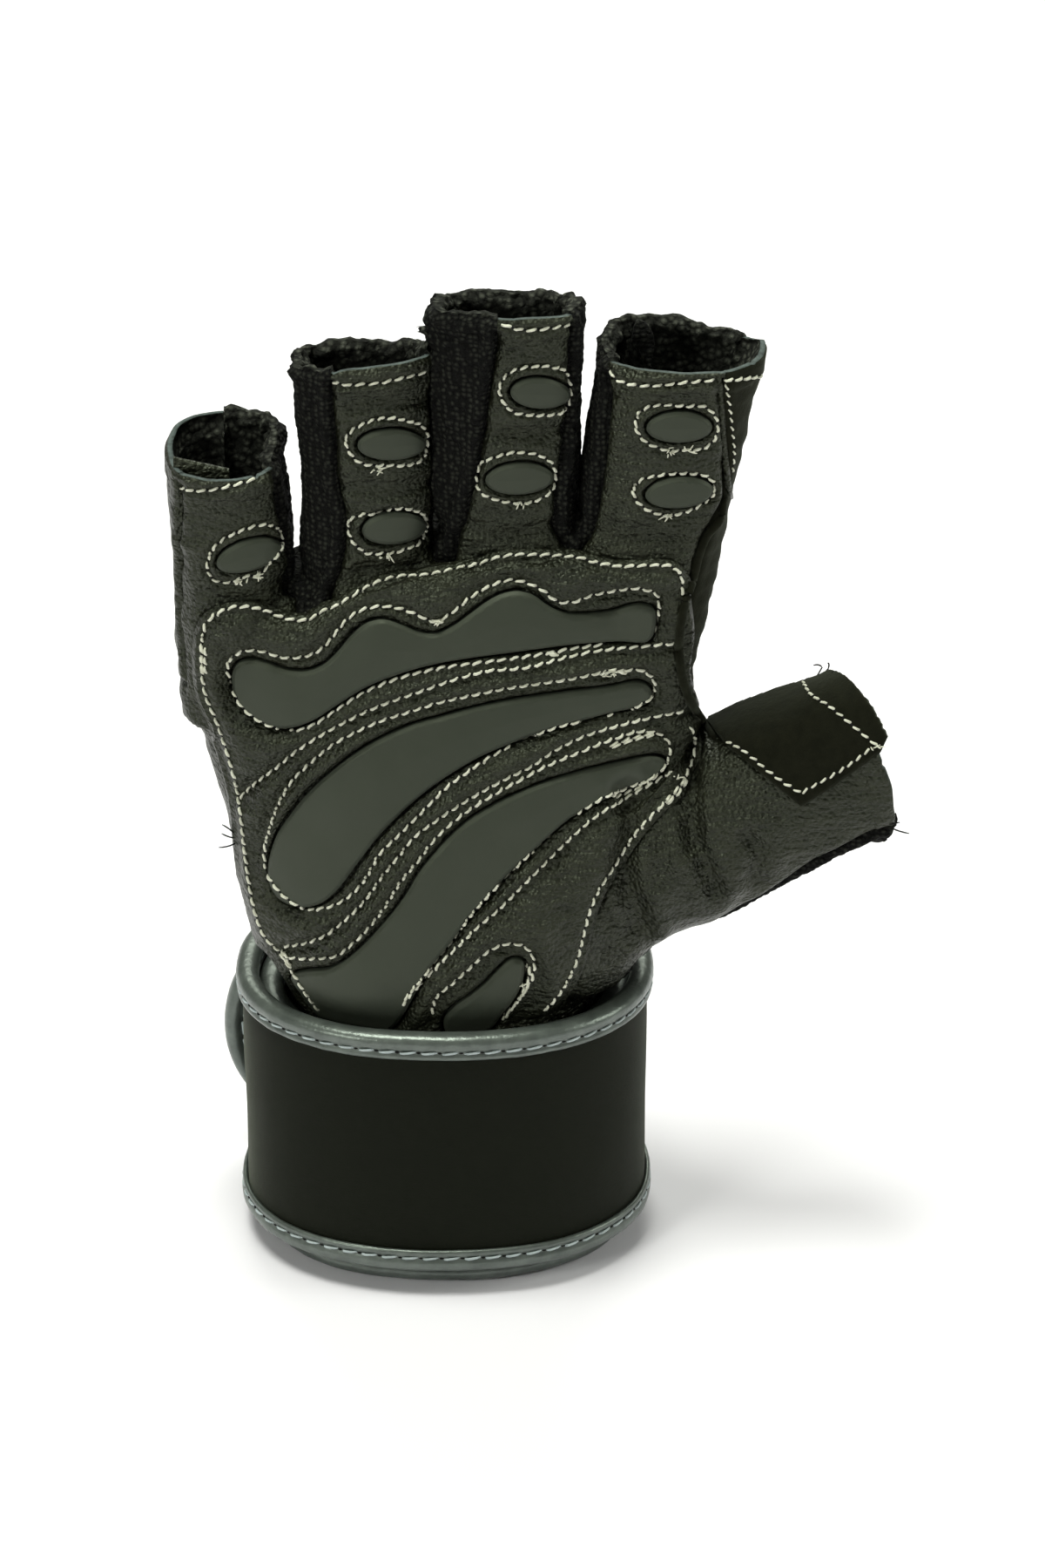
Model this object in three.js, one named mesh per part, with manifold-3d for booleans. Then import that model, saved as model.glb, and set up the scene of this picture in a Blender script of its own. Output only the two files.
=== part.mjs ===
// A right-hand weightlifting glove with open half fingers and a wrist strap, standing on its cuff.
// The palm faces -Y, the thumb points to +X and the fingers point up. All sizes are in millimetres.
// A leather palm, a knitted back, knitted strips between the fingers and a thumb piece are sewn into
// one hollow hand. A second leather layer, rubber grip pads and rubber finger dots lie on the palm.
// A padded cuff holds the wrist and a long strap goes round it, both with a bound edge.
import * as THREE from "three";
import { mergeVertices } from "three/addons/utils/BufferGeometryUtils.js";
import Module from "manifold-3d";

const wasm = await Module();
wasm.setup();

// Cuff and strap
const CUFF_WIDTH = 73; // left to right, outside the cloth
const CUFF_DEPTH = 60; // front to back, outside the cloth
const CUFF_HEIGHT = 54; // floor to the top edge at the sides
const CUFF_DIP = 8; // how much lower the top edge is at the front and back
const CUFF_WALL = 2.4;
const CUFF_SQUARENESS = 2.25; // 2 is an ellipse, more is squarer
const STRAP_HEIGHT = 53.5;
const STRAP_LIFT = 5; // floor to the strap's lower binding
const STRAP_WALL = 2.1;
const STRAP_STANDOFF = 2.6; // room between the cuff's cloth and the strap's cloth
const STRAP_TAIL = 26; // the straight stretch at the strap's round end
const STRAP_DROOP = 4; // how much lower the tail hangs than the strap
const BINDING_REACH = 3.9; // how far the binding covers the cloth from its edge
const BINDING_WALL = 0.8;

// Hand
const HEEL_RISE = 1; // cuff's top edge to the heel of the hand, from where the palm is measured
const PALM_WIDTH = 100; // across the knuckles
const PALM_DEPTH = 44; // front to back at the heel of the hand
const PALM_HEIGHT = 102; // heel to the crotch between middle and index finger
const PALM_SQUARENESS = 2.5;
const FINGER_LENGTH = 50; // the middle finger, from its crotch to its opening
const FINGER_WIDTH = 26.5; // the middle finger, outside
const FINGER_DEPTH = 23;
const FINGER_SQUARENESS = 2.7;
const THUMB_LENGTH = 69.5; // from the ball of the thumb to its opening
const THUMB_WIDTH = 33.2; // at its opening, outside
const THUMB_DEPTH = 27;
const LEATHER_WALL = 1.8; // all the sewn walls of the hand

// Layers on the palm
const OVERLAY_WALL = 1.4;
const PAD_RISE = 1.9; // how far a grip pad stands above the leather under it
const DOT_RISE = 1.7;
const DOT_WIDTH = 13.4;
const DOT_HEIGHT = 7.2;
const PATCH_WALL = 1.1;
const GAP = 0.3; // between pieces that touch

const FACETS = { hand: 28, finger: 16 }; // the cuff has as many as the hand
const HEEL = CUFF_HEIGHT + HEEL_RISE;
const BEYOND = 60; // more than any piece reaches out from its own axis
const THROUGH = 20; // how far a cutting form passes through an opening

const radians = THREE.MathUtils.degToRad;

const leather = new THREE.MeshStandardMaterial({ color: 0x24231f, roughness: 0.55, metalness: 0 });
const suede = new THREE.MeshStandardMaterial({ color: 0x211e18, roughness: 0.95, metalness: 0 });
const knit = new THREE.MeshStandardMaterial({ color: 0x121212, roughness: 0.95, metalness: 0 });
const rubber = new THREE.MeshStandardMaterial({ color: 0x43483f, roughness: 0.6, metalness: 0 });
const elastic = new THREE.MeshStandardMaterial({ color: 0x171815, roughness: 0.9, metalness: 0 });
const silver = new THREE.MeshStandardMaterial({ color: 0x8c9692, roughness: 0.4, metalness: 0.3 });

// The triangles of a flat ring of points, whatever its outline.
function capTriangles(ring) {
  const centre = new THREE.Vector3();
  ring.forEach((p) => centre.addScaledVector(p, 1 / ring.length));
  const normal = new THREE.Vector3();
  ring.forEach((p, i) => {
    const next = ring[(i + 1) % ring.length];
    normal.add(new THREE.Vector3().crossVectors(p.clone().sub(centre), next.clone().sub(centre)));
  });
  normal.normalize();
  const across = ring[0].clone().sub(centre).cross(normal).normalize();
  const up = new THREE.Vector3().crossVectors(normal, across);
  const flat = ring.map((p) => {
    const offset = p.clone().sub(centre);
    return new THREE.Vector2(offset.dot(across), offset.dot(up));
  });
  return THREE.ShapeUtils.triangulateShape(flat, []);
}

// The volume inside an indexed surface, negative if its faces point inwards.
function signedVolume(positions, index) {
  const corner = (i) => new THREE.Vector3().fromArray(positions, 3 * i);
  let volume = 0;
  for (let i = 0; i < index.length; i += 3) {
    const [a, b, c] = [corner(index[i]), corner(index[i + 1]), corner(index[i + 2])];
    volume += a.dot(b.cross(c)) / 6;
  }
  return volume;
}

// A closed solid through rings of points. The first and last ring are capped, or joined if endless.
function solidThrough(rings, endless = false) {
  const count = rings[0].length;
  const positions = rings.flat().flatMap((p) => [p.x, p.y, p.z]);
  const index = [];
  for (let r = 0; r < (endless ? rings.length : rings.length - 1); r++) {
    const low = r * count;
    const high = ((r + 1) % rings.length) * count;
    for (let i = 0; i < count; i++) {
      const j = (i + 1) % count;
      index.push(low + i, low + j, high + j, low + i, high + j, high + i);
    }
  }
  if (!endless) {
    const last = (rings.length - 1) * count;
    const turned = signedVolume(positions, index) < 0;
    capTriangles(rings[0]).forEach(([a, b, c]) => index.push(c, b, a));
    capTriangles(rings.at(-1)).forEach(([a, b, c]) => index.push(last + a, last + b, last + c));
    if (turned !== signedVolume(positions, index) < 0) throw new Error("a cap faces the wrong way");
  }
  if (signedVolume(positions, index) < 0) index.reverse();
  return new wasm.Manifold(
    new wasm.Mesh({
      numProp: 3,
      vertProperties: new Float32Array(positions),
      triVerts: new Uint32Array(index),
    }),
  );
}

// The geometry of a solid that manifold-3d has joined or cut.
function geometryOf(solid) {
  const made = solid.getMesh();
  const positions = new Float32Array(made.numVert * 3);
  for (let i = 0; i < made.numVert; i++) {
    const start = i * made.numProp;
    positions.set(made.vertProperties.subarray(start, start + 3), i * 3);
  }
  const geometry = new THREE.BufferGeometry();
  geometry.setAttribute("position", new THREE.BufferAttribute(positions, 3));
  geometry.setIndex(new THREE.BufferAttribute(made.triVerts, 1));
  return geometry;
}

// A solid from a three.js geometry, with its shared vertices merged.
function solidOf(geometry) {
  geometry.deleteAttribute("normal");
  geometry.deleteAttribute("uv");
  const merged = mergeVertices(geometry, 1e-4);
  return new wasm.Manifold(
    new wasm.Mesh({
      numProp: 3,
      vertProperties: merged.attributes.position.array,
      triVerts: new Uint32Array(merged.index.array),
    }),
  );
}

const unionOf = (solids) => solids.reduce((sum, solid) => sum.add(solid));

// Points round a superellipse, as [sideways, forwards] pairs.
function superellipse(halfWidth, halfDepth, squareness, count) {
  return Array.from({ length: count }, (_, i) => {
    const angle = (2 * Math.PI * i) / count;
    const along = (value) => Math.sign(value) * Math.abs(value) ** (2 / squareness);
    return [halfWidth * along(Math.cos(angle)), halfDepth * along(Math.sin(angle))];
  });
}

// An outline of [x, y] pairs, counter-clockwise, moved outwards by a distance.
function grown(outline, distance) {
  return outline.map((point, i) => {
    const before = outline[(i + outline.length - 1) % outline.length];
    const after = outline[(i + 1) % outline.length];
    const arriving = new THREE.Vector2(point[0] - before[0], point[1] - before[1]).normalize();
    const leaving = new THREE.Vector2(after[0] - point[0], after[1] - point[1]).normalize();
    const outward = new THREE.Vector2(arriving.y + leaving.y, -arriving.x - leaving.x).normalize();
    const reach = distance / Math.max(0.5, outward.x * leaving.y - outward.y * leaving.x);
    return [point[0] + outward.x * reach, point[1] + outward.y * reach];
  });
}

// A prism on an outline of [x, z] pairs seen from the front, from one y to another.
function prismThrough(outline, nearY, farY) {
  const shape = new THREE.Shape(outline.map(([x, z]) => new THREE.Vector2(x, z)));
  const geometry = new THREE.ExtrudeGeometry(shape, { depth: farY - nearY, bevelEnabled: false });
  geometry.rotateX(Math.PI / 2);
  geometry.translate(0, farY, 0);
  return solidOf(geometry);
}

// The wrist, from the cuff's own sizes: the hand's lower end fits inside the cuff's binding.
const wrist = {
  halfWidth: CUFF_WIDTH / 2 - CUFF_WALL - BINDING_WALL - 3 * GAP,
  halfDepth: CUFF_DEPTH / 2 - CUFF_WALL - BINDING_WALL - 3 * GAP,
  foot: CUFF_HEIGHT - CUFF_DIP - 10,
  free: CUFF_HEIGHT + BINDING_WALL + 3,
};

// The palm above the cuff. up is a share of PALM_HEIGHT above the heel, left, right and lean of
// PALM_WIDTH, front and back of PALM_DEPTH. lean lowers the little finger's side of a section.
const palmRows = [
  { up: 0.09, left: 0.355, right: 0.35, front: 0.64, back: 0.56, lean: 0 },
  { up: 0.22, left: 0.39, right: 0.45, front: 0.65, back: 0.55, lean: 0 },
  { up: 0.46, left: 0.45, right: 0.49, front: 0.6, back: 0.48, lean: 0 },
  { up: 0.67, left: 0.505, right: 0.49, front: 0.55, back: 0.41, lean: 0.02 },
  { up: 0.83, left: 0.53, right: 0.5, front: 0.52, back: 0.34, lean: 0.06 },
  { up: 0.9, left: 0.52, right: 0.5, front: 0.49, back: 0.27, lean: 0.09 },
  { up: 0.965, left: 0.485, right: 0.47, front: 0.33, back: 0.12, lean: 0.125 },
];

// A ring of the palm or the wrist.
function flatRing({ left, right, front, back, height, lean, squareness = PALM_SQUARENESS }) {
  const halfWidth = (left + right) / 2;
  const middleX = (right - left) / 2;
  const middleY = (back - front) / 2;
  return superellipse(halfWidth, (front + back) / 2, squareness, FACETS.hand).map(
    ([side, depth]) =>
      new THREE.Vector3(middleX + side, middleY + depth, height + (lean * side) / halfWidth),
  );
}

// The palm with its wrist, its surface moved outwards by grow and its lower end by reach.
function palmForm(grow, reach) {
  const wristRing = (height) =>
    flatRing({
      left: wrist.halfWidth + grow,
      right: wrist.halfWidth + grow,
      front: wrist.halfDepth + grow,
      back: wrist.halfDepth + grow,
      height,
      lean: 0,
      squareness: CUFF_SQUARENESS,
    });
  const rings = palmRows.map((row, i) =>
    flatRing({
      left: row.left * PALM_WIDTH + grow,
      right: row.right * PALM_WIDTH + grow,
      front: row.front * PALM_DEPTH + grow,
      back: row.back * PALM_DEPTH + grow,
      height: HEEL + row.up * PALM_HEIGHT + (i >= palmRows.length - 2 ? grow : 0),
      lean: row.lean * PALM_WIDTH,
    }),
  );
  return solidThrough([wristRing(wrist.foot - reach), wristRing(wrist.free), ...rings]);
}

// The fingers. rootX, topX, y shares are of PALM_WIDTH from the cuff's centre line, rootUp is a share
// of PALM_HEIGHT, top of FINGER_LENGTH above the crotch line, width of FINGER_WIDTH, deep of
// FINGER_DEPTH. tip is the forward tilt of the opening. The leather spans the front from leatherLeft
// to leatherRight degrees round the finger. crotch is the height of the crotch on the finger's left,
// as a share of PALM_HEIGHT.
const fingers = [
  { name: "pinky", rootX: -0.4, topX: -0.395, top: 0.33, width: 0.85, deep: 1.0, tip: 9,
    leatherLeft: 46, leatherRight: 48 },
  { name: "ring", rootX: -0.135, topX: -0.148, top: 0.68, width: 0.94, deep: 0.96, tip: -8,
    leatherLeft: 20, leatherRight: 72, crotch: 0.888 },
  { name: "middle", rootX: 0.125, topX: 0.128, top: 0.87, width: 1, deep: 0.98, tip: -6,
    leatherLeft: 20, leatherRight: 52, crotch: 1.0 },
  { name: "index", rootX: 0.33, topX: 0.455, top: 0.7, width: 1.06, deep: 1.04, tip: 6,
    leatherLeft: 54, leatherRight: 42, crotch: 1.01 },
];
const FINGER_ROOT_UP = 0.6; // where the fingers start inside the palm, a share of PALM_HEIGHT
const FINGER_ROOT_Y = -0.07; // share of PALM_WIDTH
const FINGER_TOP_Y = -0.115; // the fingers curl forwards a little
const CROTCH_TUCK = 5; // how far a knitted strip reaches below the crotch
const KNIT_BACK = 128; // degrees from the front to the seam of the knitted back
// A finger's thickness along its length: waist at the middle, a little flare at the opening.
const fingerRows = [
  { along: 0, size: 0.82 },
  { along: 0.3, size: 0.91 },
  { along: 0.6, size: 0.96 },
  { along: 1, size: 1.02 },
];
for (const finger of fingers) {
  const crotchHeight = HEEL + PALM_HEIGHT;
  finger.root = new THREE.Vector3(
    finger.rootX * PALM_WIDTH,
    FINGER_ROOT_Y * PALM_WIDTH,
    HEEL + FINGER_ROOT_UP * PALM_HEIGHT,
  );
  finger.end = new THREE.Vector3(
    finger.topX * PALM_WIDTH,
    FINGER_TOP_Y * PALM_WIDTH,
    crotchHeight + finger.top * FINGER_LENGTH,
  );
  finger.halfWidth = (finger.width * FINGER_WIDTH) / 2;
  finger.halfDepth = (finger.deep * FINGER_DEPTH) / 2;
  finger.axis = finger.end.clone().sub(finger.root).normalize();
  finger.length = finger.end.distanceTo(finger.root);
  finger.front = new THREE.Vector3(0, -1, 0);
  finger.side = new THREE.Vector3().crossVectors(finger.axis, finger.front).normalize();
  if (finger.side.x < 0) finger.side.negate();
  finger.front.crossVectors(finger.side, finger.axis).normalize();
  if (finger.front.y > 0) finger.front.negate();
}

// A point of a finger, from its distance along the axis and its sideways and forward offset.
function fingerPoint(finger, distance, side, forward) {
  const tilt = THREE.MathUtils.smoothstep(distance, finger.length * 0.8, finger.length);
  const slope = Math.tan(radians(finger.tip)) * tilt;
  return finger.root
    .clone()
    .addScaledVector(finger.axis, distance - forward * slope)
    .addScaledVector(finger.side, side)
    .addScaledVector(finger.front, forward);
}

function fingerForm(finger, grow, reach) {
  const rings = fingerRows.map((row) =>
    superellipse(
      finger.halfWidth * row.size + grow,
      finger.halfDepth * row.size + grow,
      FINGER_SQUARENESS,
      FACETS.finger,
    ).map(([side, forward]) => fingerPoint(finger, row.along * finger.length, side, forward)),
  );
  if (reach > 0) {
    const beyond = finger.axis.clone().multiplyScalar(reach);
    rings.push(rings.at(-1).map((p) => p.clone().add(beyond)));
  }
  return solidThrough(rings);
}

// The thumb. along is a share of THUMB_LENGTH from its root, width of THUMB_WIDTH, deep of THUMB_DEPTH,
// and rise lifts a section's centre, as a share of THUMB_WIDTH.
const THUMB_ROOT = { x: 0.195, y: -0.04, up: 0.2 }; // shares of PALM_WIDTH, PALM_WIDTH, PALM_HEIGHT
const THUMB_RISE = 28; // degrees above level
const THUMB_FORWARD = 7; // degrees towards the front
const THUMB_TIP_FORWARD = 31; // degrees by which its opening is cut longer in front
const THUMB_TIP_UP = 9.5; // and on top
const thumbRows = [
  { along: 0, width: 1.22, deep: 1.42, rise: -0.18 },
  { along: 0.24, width: 1.19, deep: 1.42, rise: 0.04 },
  { along: 0.54, width: 1.07, deep: 1.26, rise: -0.01 },
  { along: 0.8, width: 1.03, deep: 1.08, rise: 0.02 },
  { along: 1, width: 1, deep: 1, rise: 0 },
];
const THUMB_SQUARENESS = 2.3;
const THUMB_STRAIGHT = 0.54; // share of its length before its sections tilt with the opening
const thumb = {
  axis: new THREE.Vector3(
    Math.cos(radians(THUMB_RISE)) * Math.cos(radians(THUMB_FORWARD)),
    -Math.cos(radians(THUMB_RISE)) * Math.sin(radians(THUMB_FORWARD)),
    Math.sin(radians(THUMB_RISE)),
  ),
  root: new THREE.Vector3(
    THUMB_ROOT.x * PALM_WIDTH,
    THUMB_ROOT.y * PALM_WIDTH,
    HEEL + THUMB_ROOT.up * PALM_HEIGHT,
  ),
};
thumb.up = new THREE.Vector3(0, 0, 1).addScaledVector(thumb.axis, -thumb.axis.z).normalize();
thumb.front = new THREE.Vector3().crossVectors(thumb.axis, thumb.up).normalize();

function thumbPoint(distance, height, forward) {
  return thumb.root
    .clone()
    .addScaledVector(thumb.axis, distance)
    .addScaledVector(thumb.up, height)
    .addScaledVector(thumb.front, forward);
}

function thumbForm(grow, reach) {
  const rings = thumbRows.map((row) =>
    superellipse(
      (row.width * THUMB_WIDTH) / 2 + grow,
      (row.deep * THUMB_DEPTH) / 2 + grow,
      THUMB_SQUARENESS,
      FACETS.finger,
    ).map(([height, forward]) => {
      const tilt = THREE.MathUtils.smoothstep(row.along, THUMB_STRAIGHT, 1);
      const longer =
        forward * Math.tan(radians(THUMB_TIP_FORWARD)) + height * Math.tan(radians(THUMB_TIP_UP));
      const distance = row.along * THUMB_LENGTH + tilt * longer;
      return thumbPoint(distance, height + row.rise * THUMB_WIDTH, forward);
    }),
  );
  if (reach > 0) {
    const beyond = thumb.axis.clone().multiplyScalar(reach);
    rings.push(rings.at(-1).map((p) => p.clone().add(beyond)));
  }
  const wristFree = prismThrough(
    [[-BEYOND, wrist.free - Math.min(grow, 0)], [2 * BEYOND, wrist.free - Math.min(grow, 0)],
      [2 * BEYOND, 4 * BEYOND], [-BEYOND, 4 * BEYOND]],
    -BEYOND,
    BEYOND,
  );
  return solidThrough(rings).intersect(wristFree);
}

// The whole hand as one solid form, its surface moved outwards by grow.
function handForm(grow, reach = 0) {
  const parts = [palmForm(grow, reach), thumbForm(grow, reach)];
  fingers.forEach((finger) => parts.push(fingerForm(finger, grow, reach)));
  return unionOf(parts);
}

// A wedge on one side of a finger (-1 left, 1 right), between two angles from its front, out to a
// distance from its axis. Each station is [distance along, front angle, back angle, outwards].
function fingerWedge(finger, sign, stations, grow) {
  const turned = (angle, length) => [
    sign * Math.sin(radians(angle)) * length,
    Math.cos(radians(angle)) * length,
  ];
  const wedgeRings = [];
  const boxRings = [];
  stations.forEach(([distance, frontAngle, backAngle, outwards], i) => {
    const end = i === 0 ? -grow : i === stations.length - 1 ? grow : 0;
    const middleAngle = (frontAngle + backAngle) / 2;
    const apex = -grow / Math.sin(radians((backAngle - frontAngle) / 2));
    const wedge = [
      turned(middleAngle, apex),
      turned(frontAngle, BEYOND),
      turned(middleAngle, BEYOND * 1.5),
      turned(backAngle, BEYOND),
    ];
    wedge[1][0] += turned(middleAngle, apex)[0];
    wedge[1][1] += turned(middleAngle, apex)[1];
    wedge[3][0] += turned(middleAngle, apex)[0];
    wedge[3][1] += turned(middleAngle, apex)[1];
    const place = ([side, forward]) =>
      finger.root
        .clone()
        .addScaledVector(finger.axis, distance + end)
        .addScaledVector(finger.side, side)
        .addScaledVector(finger.front, forward);
    wedgeRings.push(wedge.map(place));
    boxRings.push(
      [[-sign * grow, -BEYOND], [sign * (outwards + grow), -BEYOND],
        [sign * (outwards + grow), BEYOND], [-sign * grow, BEYOND]].map(place),
    );
  });
  return solidThrough(wedgeRings).intersect(solidThrough(boxRings));
}

// The knitted strip between two neighbouring fingers: down one, round the crotch and up the other.
function stripBetween(left, right, grow) {
  const crotch = HEEL + right.crotch * PALM_HEIGHT - CROTCH_TUCK;
  const stations = (finger, other, angle) =>
    [crotch, crotch + FINGER_DEPTH / 2, HEEL + PALM_HEIGHT + FINGER_LENGTH + THROUGH].map((height) => {
      const distance = (height - finger.root.z) / finger.axis.z;
      const here = finger.root.clone().addScaledVector(finger.axis, distance);
      const there = other.root
        .clone()
        .addScaledVector(other.axis, (height - other.root.z) / other.axis.z);
      return [distance, angle, KNIT_BACK, Math.abs(there.x - here.x) / 2 + 0.01];
    });
  return fingerWedge(left, 1, stations(left, right, left.leatherRight), grow).add(
    fingerWedge(right, -1, stations(right, left, right.leatherLeft), grow),
  );
}

// The outer side strips of the little and index finger run down the edge of the palm.
function edgeStrip(finger, sign, lowUp, lowAngle, angle, grow) {
  const low = (HEEL + lowUp * PALM_HEIGHT - finger.root.z) / finger.axis.z;
  const high = finger.length + THROUGH;
  const beside = finger.halfWidth * 1.6;
  return fingerWedge(
    finger,
    sign,
    [[low, lowAngle, 112, beside], [finger.length * 0.6, angle, KNIT_BACK, beside],
      [high, angle, KNIT_BACK, beside]],
    grow,
  );
}

// Everything in front of the side seam, which follows the middle of the hand's thickness.
// up is a share of PALM_HEIGHT above the strap and back a share of PALM_DEPTH.
const seamRows = [
  { up: -1.2, back: 0 },
  { up: 0.2, back: 0 },
  { up: 0.7, back: -0.03 },
  { up: 0.9, back: -0.2 },
  { up: 2.2, back: -0.32 },
];
function inFront(shift) {
  const ring = (x) =>
    [...seamRows.map((row) => [row.back * PALM_DEPTH + shift, HEEL + row.up * PALM_HEIGHT]),
      [-2 * BEYOND, HEEL + 2.2 * PALM_HEIGHT], [-2 * BEYOND, HEEL - 1.2 * PALM_HEIGHT],
    ].map(([y, z]) => new THREE.Vector3(x, y, z));
  return solidThrough([ring(-2 * BEYOND), ring(2 * BEYOND)]);
}

// A place on the palm: hundredths of PALM_WIDTH from the palm's left edge, and hundredths of
// PALM_HEIGHT above the strap.
function onPalm([across, up]) {
  return [(across / 100 - 0.5) * PALM_WIDTH, HEEL + (up / 100) * PALM_HEIGHT];
}

// The thumb piece: right of the seam that runs from the crotch of the thumb down to the cuff.
const thumbSeam = [[100, 66], [98, 54], [92, 46], [85, 36], [79, 24], [76, 12], [70, 2], [66, -22]];
function thumbRegion(grow) {
  const outline = [...thumbSeam, [125, -22], [160, 0], [160, 80], [112, 82]].map(onPalm);
  return prismThrough(grown(outline, grow), -BEYOND, BEYOND);
}

// In front of the thumb's own side seams. They turn round it: at its lower edge the knitted back
// shows from the front, and at its upper edge the leather wraps over.
const THUMB_SEAM_LOW = 0.3; // shares of THUMB_DEPTH / 2 towards the front
const THUMB_SEAM_HIGH = -0.5;
function thumbFront(shift) {
  const half = THUMB_WIDTH / 2;
  const depthAt = (share) => (share * THUMB_DEPTH) / 2 - shift;
  const slope = (depthAt(THUMB_SEAM_HIGH) - depthAt(THUMB_SEAM_LOW)) / (2 * half);
  const middle = (depthAt(THUMB_SEAM_HIGH) + depthAt(THUMB_SEAM_LOW)) / 2;
  const ring = (distance) =>
    [[-BEYOND, middle - slope * BEYOND], [BEYOND, middle + slope * BEYOND],
      [BEYOND, 2 * BEYOND], [-BEYOND, 2 * BEYOND]].map(([height, forward]) =>
      thumbPoint(distance, height, forward),
    );
  return solidThrough([ring(-2 * BEYOND), ring(THUMB_LENGTH + BEYOND)]);
}

const shell = handForm(0).subtract(handForm(-LEATHER_WALL, THROUGH));
const [pinky, ringFinger, middle, index] = fingers;

const strips = {
  fourchette_pinky_ring: (grow) => stripBetween(pinky, ringFinger, grow),
  fourchette_ring_middle: (grow) => stripBetween(ringFinger, middle, grow),
  fourchette_middle_index: (grow) => stripBetween(middle, index, grow),
  pinky_side_strip: (grow) => edgeStrip(pinky, -1, 0.68, 76, pinky.leatherLeft, grow),
  index_side_strip: (grow) => edgeStrip(index, 1, 0.66, 66, index.leatherRight, grow),
};
const pieces = {};
let remaining = shell;
for (const [name, region] of Object.entries(strips)) {
  pieces[name] = [remaining.intersect(region(0)), knit];
  remaining = remaining.subtract(region(GAP));
}
pieces.pinky_side_strip[1] = leather;
pieces.index_side_strip[1] = suede;

const thumbShell = remaining.intersect(thumbRegion(0));
remaining = remaining.subtract(thumbRegion(GAP));
pieces.thumb_leather = [thumbShell.intersect(thumbFront(0)), leather];
pieces.thumb_back = [thumbShell.subtract(thumbFront(GAP)), knit];
pieces.palm_leather = [remaining.intersect(inFront(0)), leather];
pieces.back_panel = [remaining.subtract(inFront(GAP)), knit];

// A layer that lies on the hand's surface inside an outline seen from the front.
function layerOnHand(outline, lift, thickness) {
  const region = prismThrough(outline, -BEYOND, -LEATHER_WALL);
  return handForm(lift + thickness).intersect(region).subtract(handForm(lift, THROUGH));
}

// The grip pads, outlined counter-clockwise by places on the palm.
const pads = {
  grip_pad_upper: [[11, 76], [15, 68], [22, 65], [29, 68], [37, 73], [50, 78], [67, 82], [78, 83],
    [90, 84], [91, 87], [90, 91], [78, 89], [71, 90], [66, 93], [60, 92], [54, 87], [48, 84],
    [41, 87], [36, 86], [29, 79], [22, 77], [15, 79]],
  grip_pad_middle: [[17, 34], [21, 28], [26, 27], [31, 31], [38, 38], [46, 47], [54, 54], [64, 60],
    [76, 65], [90, 70.5], [91.5, 73], [90, 75], [75, 73], [61, 70], [47, 67], [35, 62], [28, 56],
    [21, 47], [18, 39]],
  grip_pad_lower: [[22, 11], [29, 3], [39, 3], [46, 12], [52, 23], [58, 33], [67, 42], [78, 48],
    [92, 57], [91.5, 60], [88, 60], [74, 55], [61, 50], [52, 43], [45, 34], [39, 24], [33, 17],
    [26, 14]],
  grip_pad_heel: [[51, 4], [55, 3], [60, 5], [65, 13], [66, 17], [64.5, 18.5], [61, 16], [55, 11]],
};
const overlayOutline = [[21, 8], [24, 2], [70, 2], [74.5, 12], [77.5, 24], [83.5, 37], [90.5, 47],
  [99, 56.5], [99, 65], [94, 80], [96, 90], [95, 97], [84, 99], [72, 100], [61, 99], [49, 98],
  [39, 95], [31, 90.5], [24, 87], [17, 88], [10, 90], [5, 86], [5, 74], [8, 58], [12, 40], [15, 26]];

const placed = (outline) => outline.map(onPalm);
let overlay = layerOnHand(placed(overlayOutline), GAP, OVERLAY_WALL);
for (const [name, outline] of Object.entries(pads)) {
  overlay = overlay.subtract(prismThrough(grown(placed(outline), GAP), -BEYOND, BEYOND));
  pieces[name] = [layerOnHand(placed(outline), GAP, PAD_RISE), rubber];
}
pieces.palm_overlay = [overlay, leather];

// The rubber dots on the fingers: below is how far under the finger's opening, a share of
// FINGER_LENGTH, across a share of the finger's half width, and turn the tilt in degrees.
const dots = [
  { name: "dot_pinky", finger: pinky, below: 0.37, across: 0.3, turn: 18 },
  { name: "dot_ring_low", finger: ringFinger, below: 0.68, across: 0.42, turn: 4 },
  { name: "dot_ring_high", finger: ringFinger, below: 0.3, across: 0.42, turn: 0 },
  { name: "dot_middle_low", finger: middle, below: 0.62, across: 0.12, turn: 3 },
  { name: "dot_middle_high", finger: middle, below: 0.3, across: 0.4, turn: -2 },
  { name: "dot_index_low", finger: index, below: 0.515, across: 0.08, turn: 3 },
  { name: "dot_index_high", finger: index, below: 0.25, across: 0.02, turn: 0 },
];
const DOT_SIDES = 14;
for (const { name, finger, below, across, turn } of dots) {
  const distance = finger.length - below * FINGER_LENGTH;
  const centre = fingerPoint(finger, distance, across * finger.halfWidth, 0);
  const outline = superellipse(DOT_WIDTH / 2, DOT_HEIGHT / 2, 2, DOT_SIDES).map(([x, z]) => {
    const spot = new THREE.Vector2(x, z).rotateAround(new THREE.Vector2(), radians(turn));
    return [centre.x + spot.x, centre.z + spot.y];
  });
  const region = prismThrough(outline, -BEYOND, centre.y);
  const above = fingerForm(finger, GAP + DOT_RISE, 0).intersect(region);
  pieces[name] = [above.subtract(handForm(GAP)), rubber];
}

// The suede patch on the thumb, from the crotch to the opening.
const thumbPatch = [[103, 56], [120, 50], [137, 61], [137, 76], [103, 72]];
pieces.thumb_patch = [layerOnHand(placed(thumbPatch), GAP, PATCH_WALL), suede];

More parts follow.
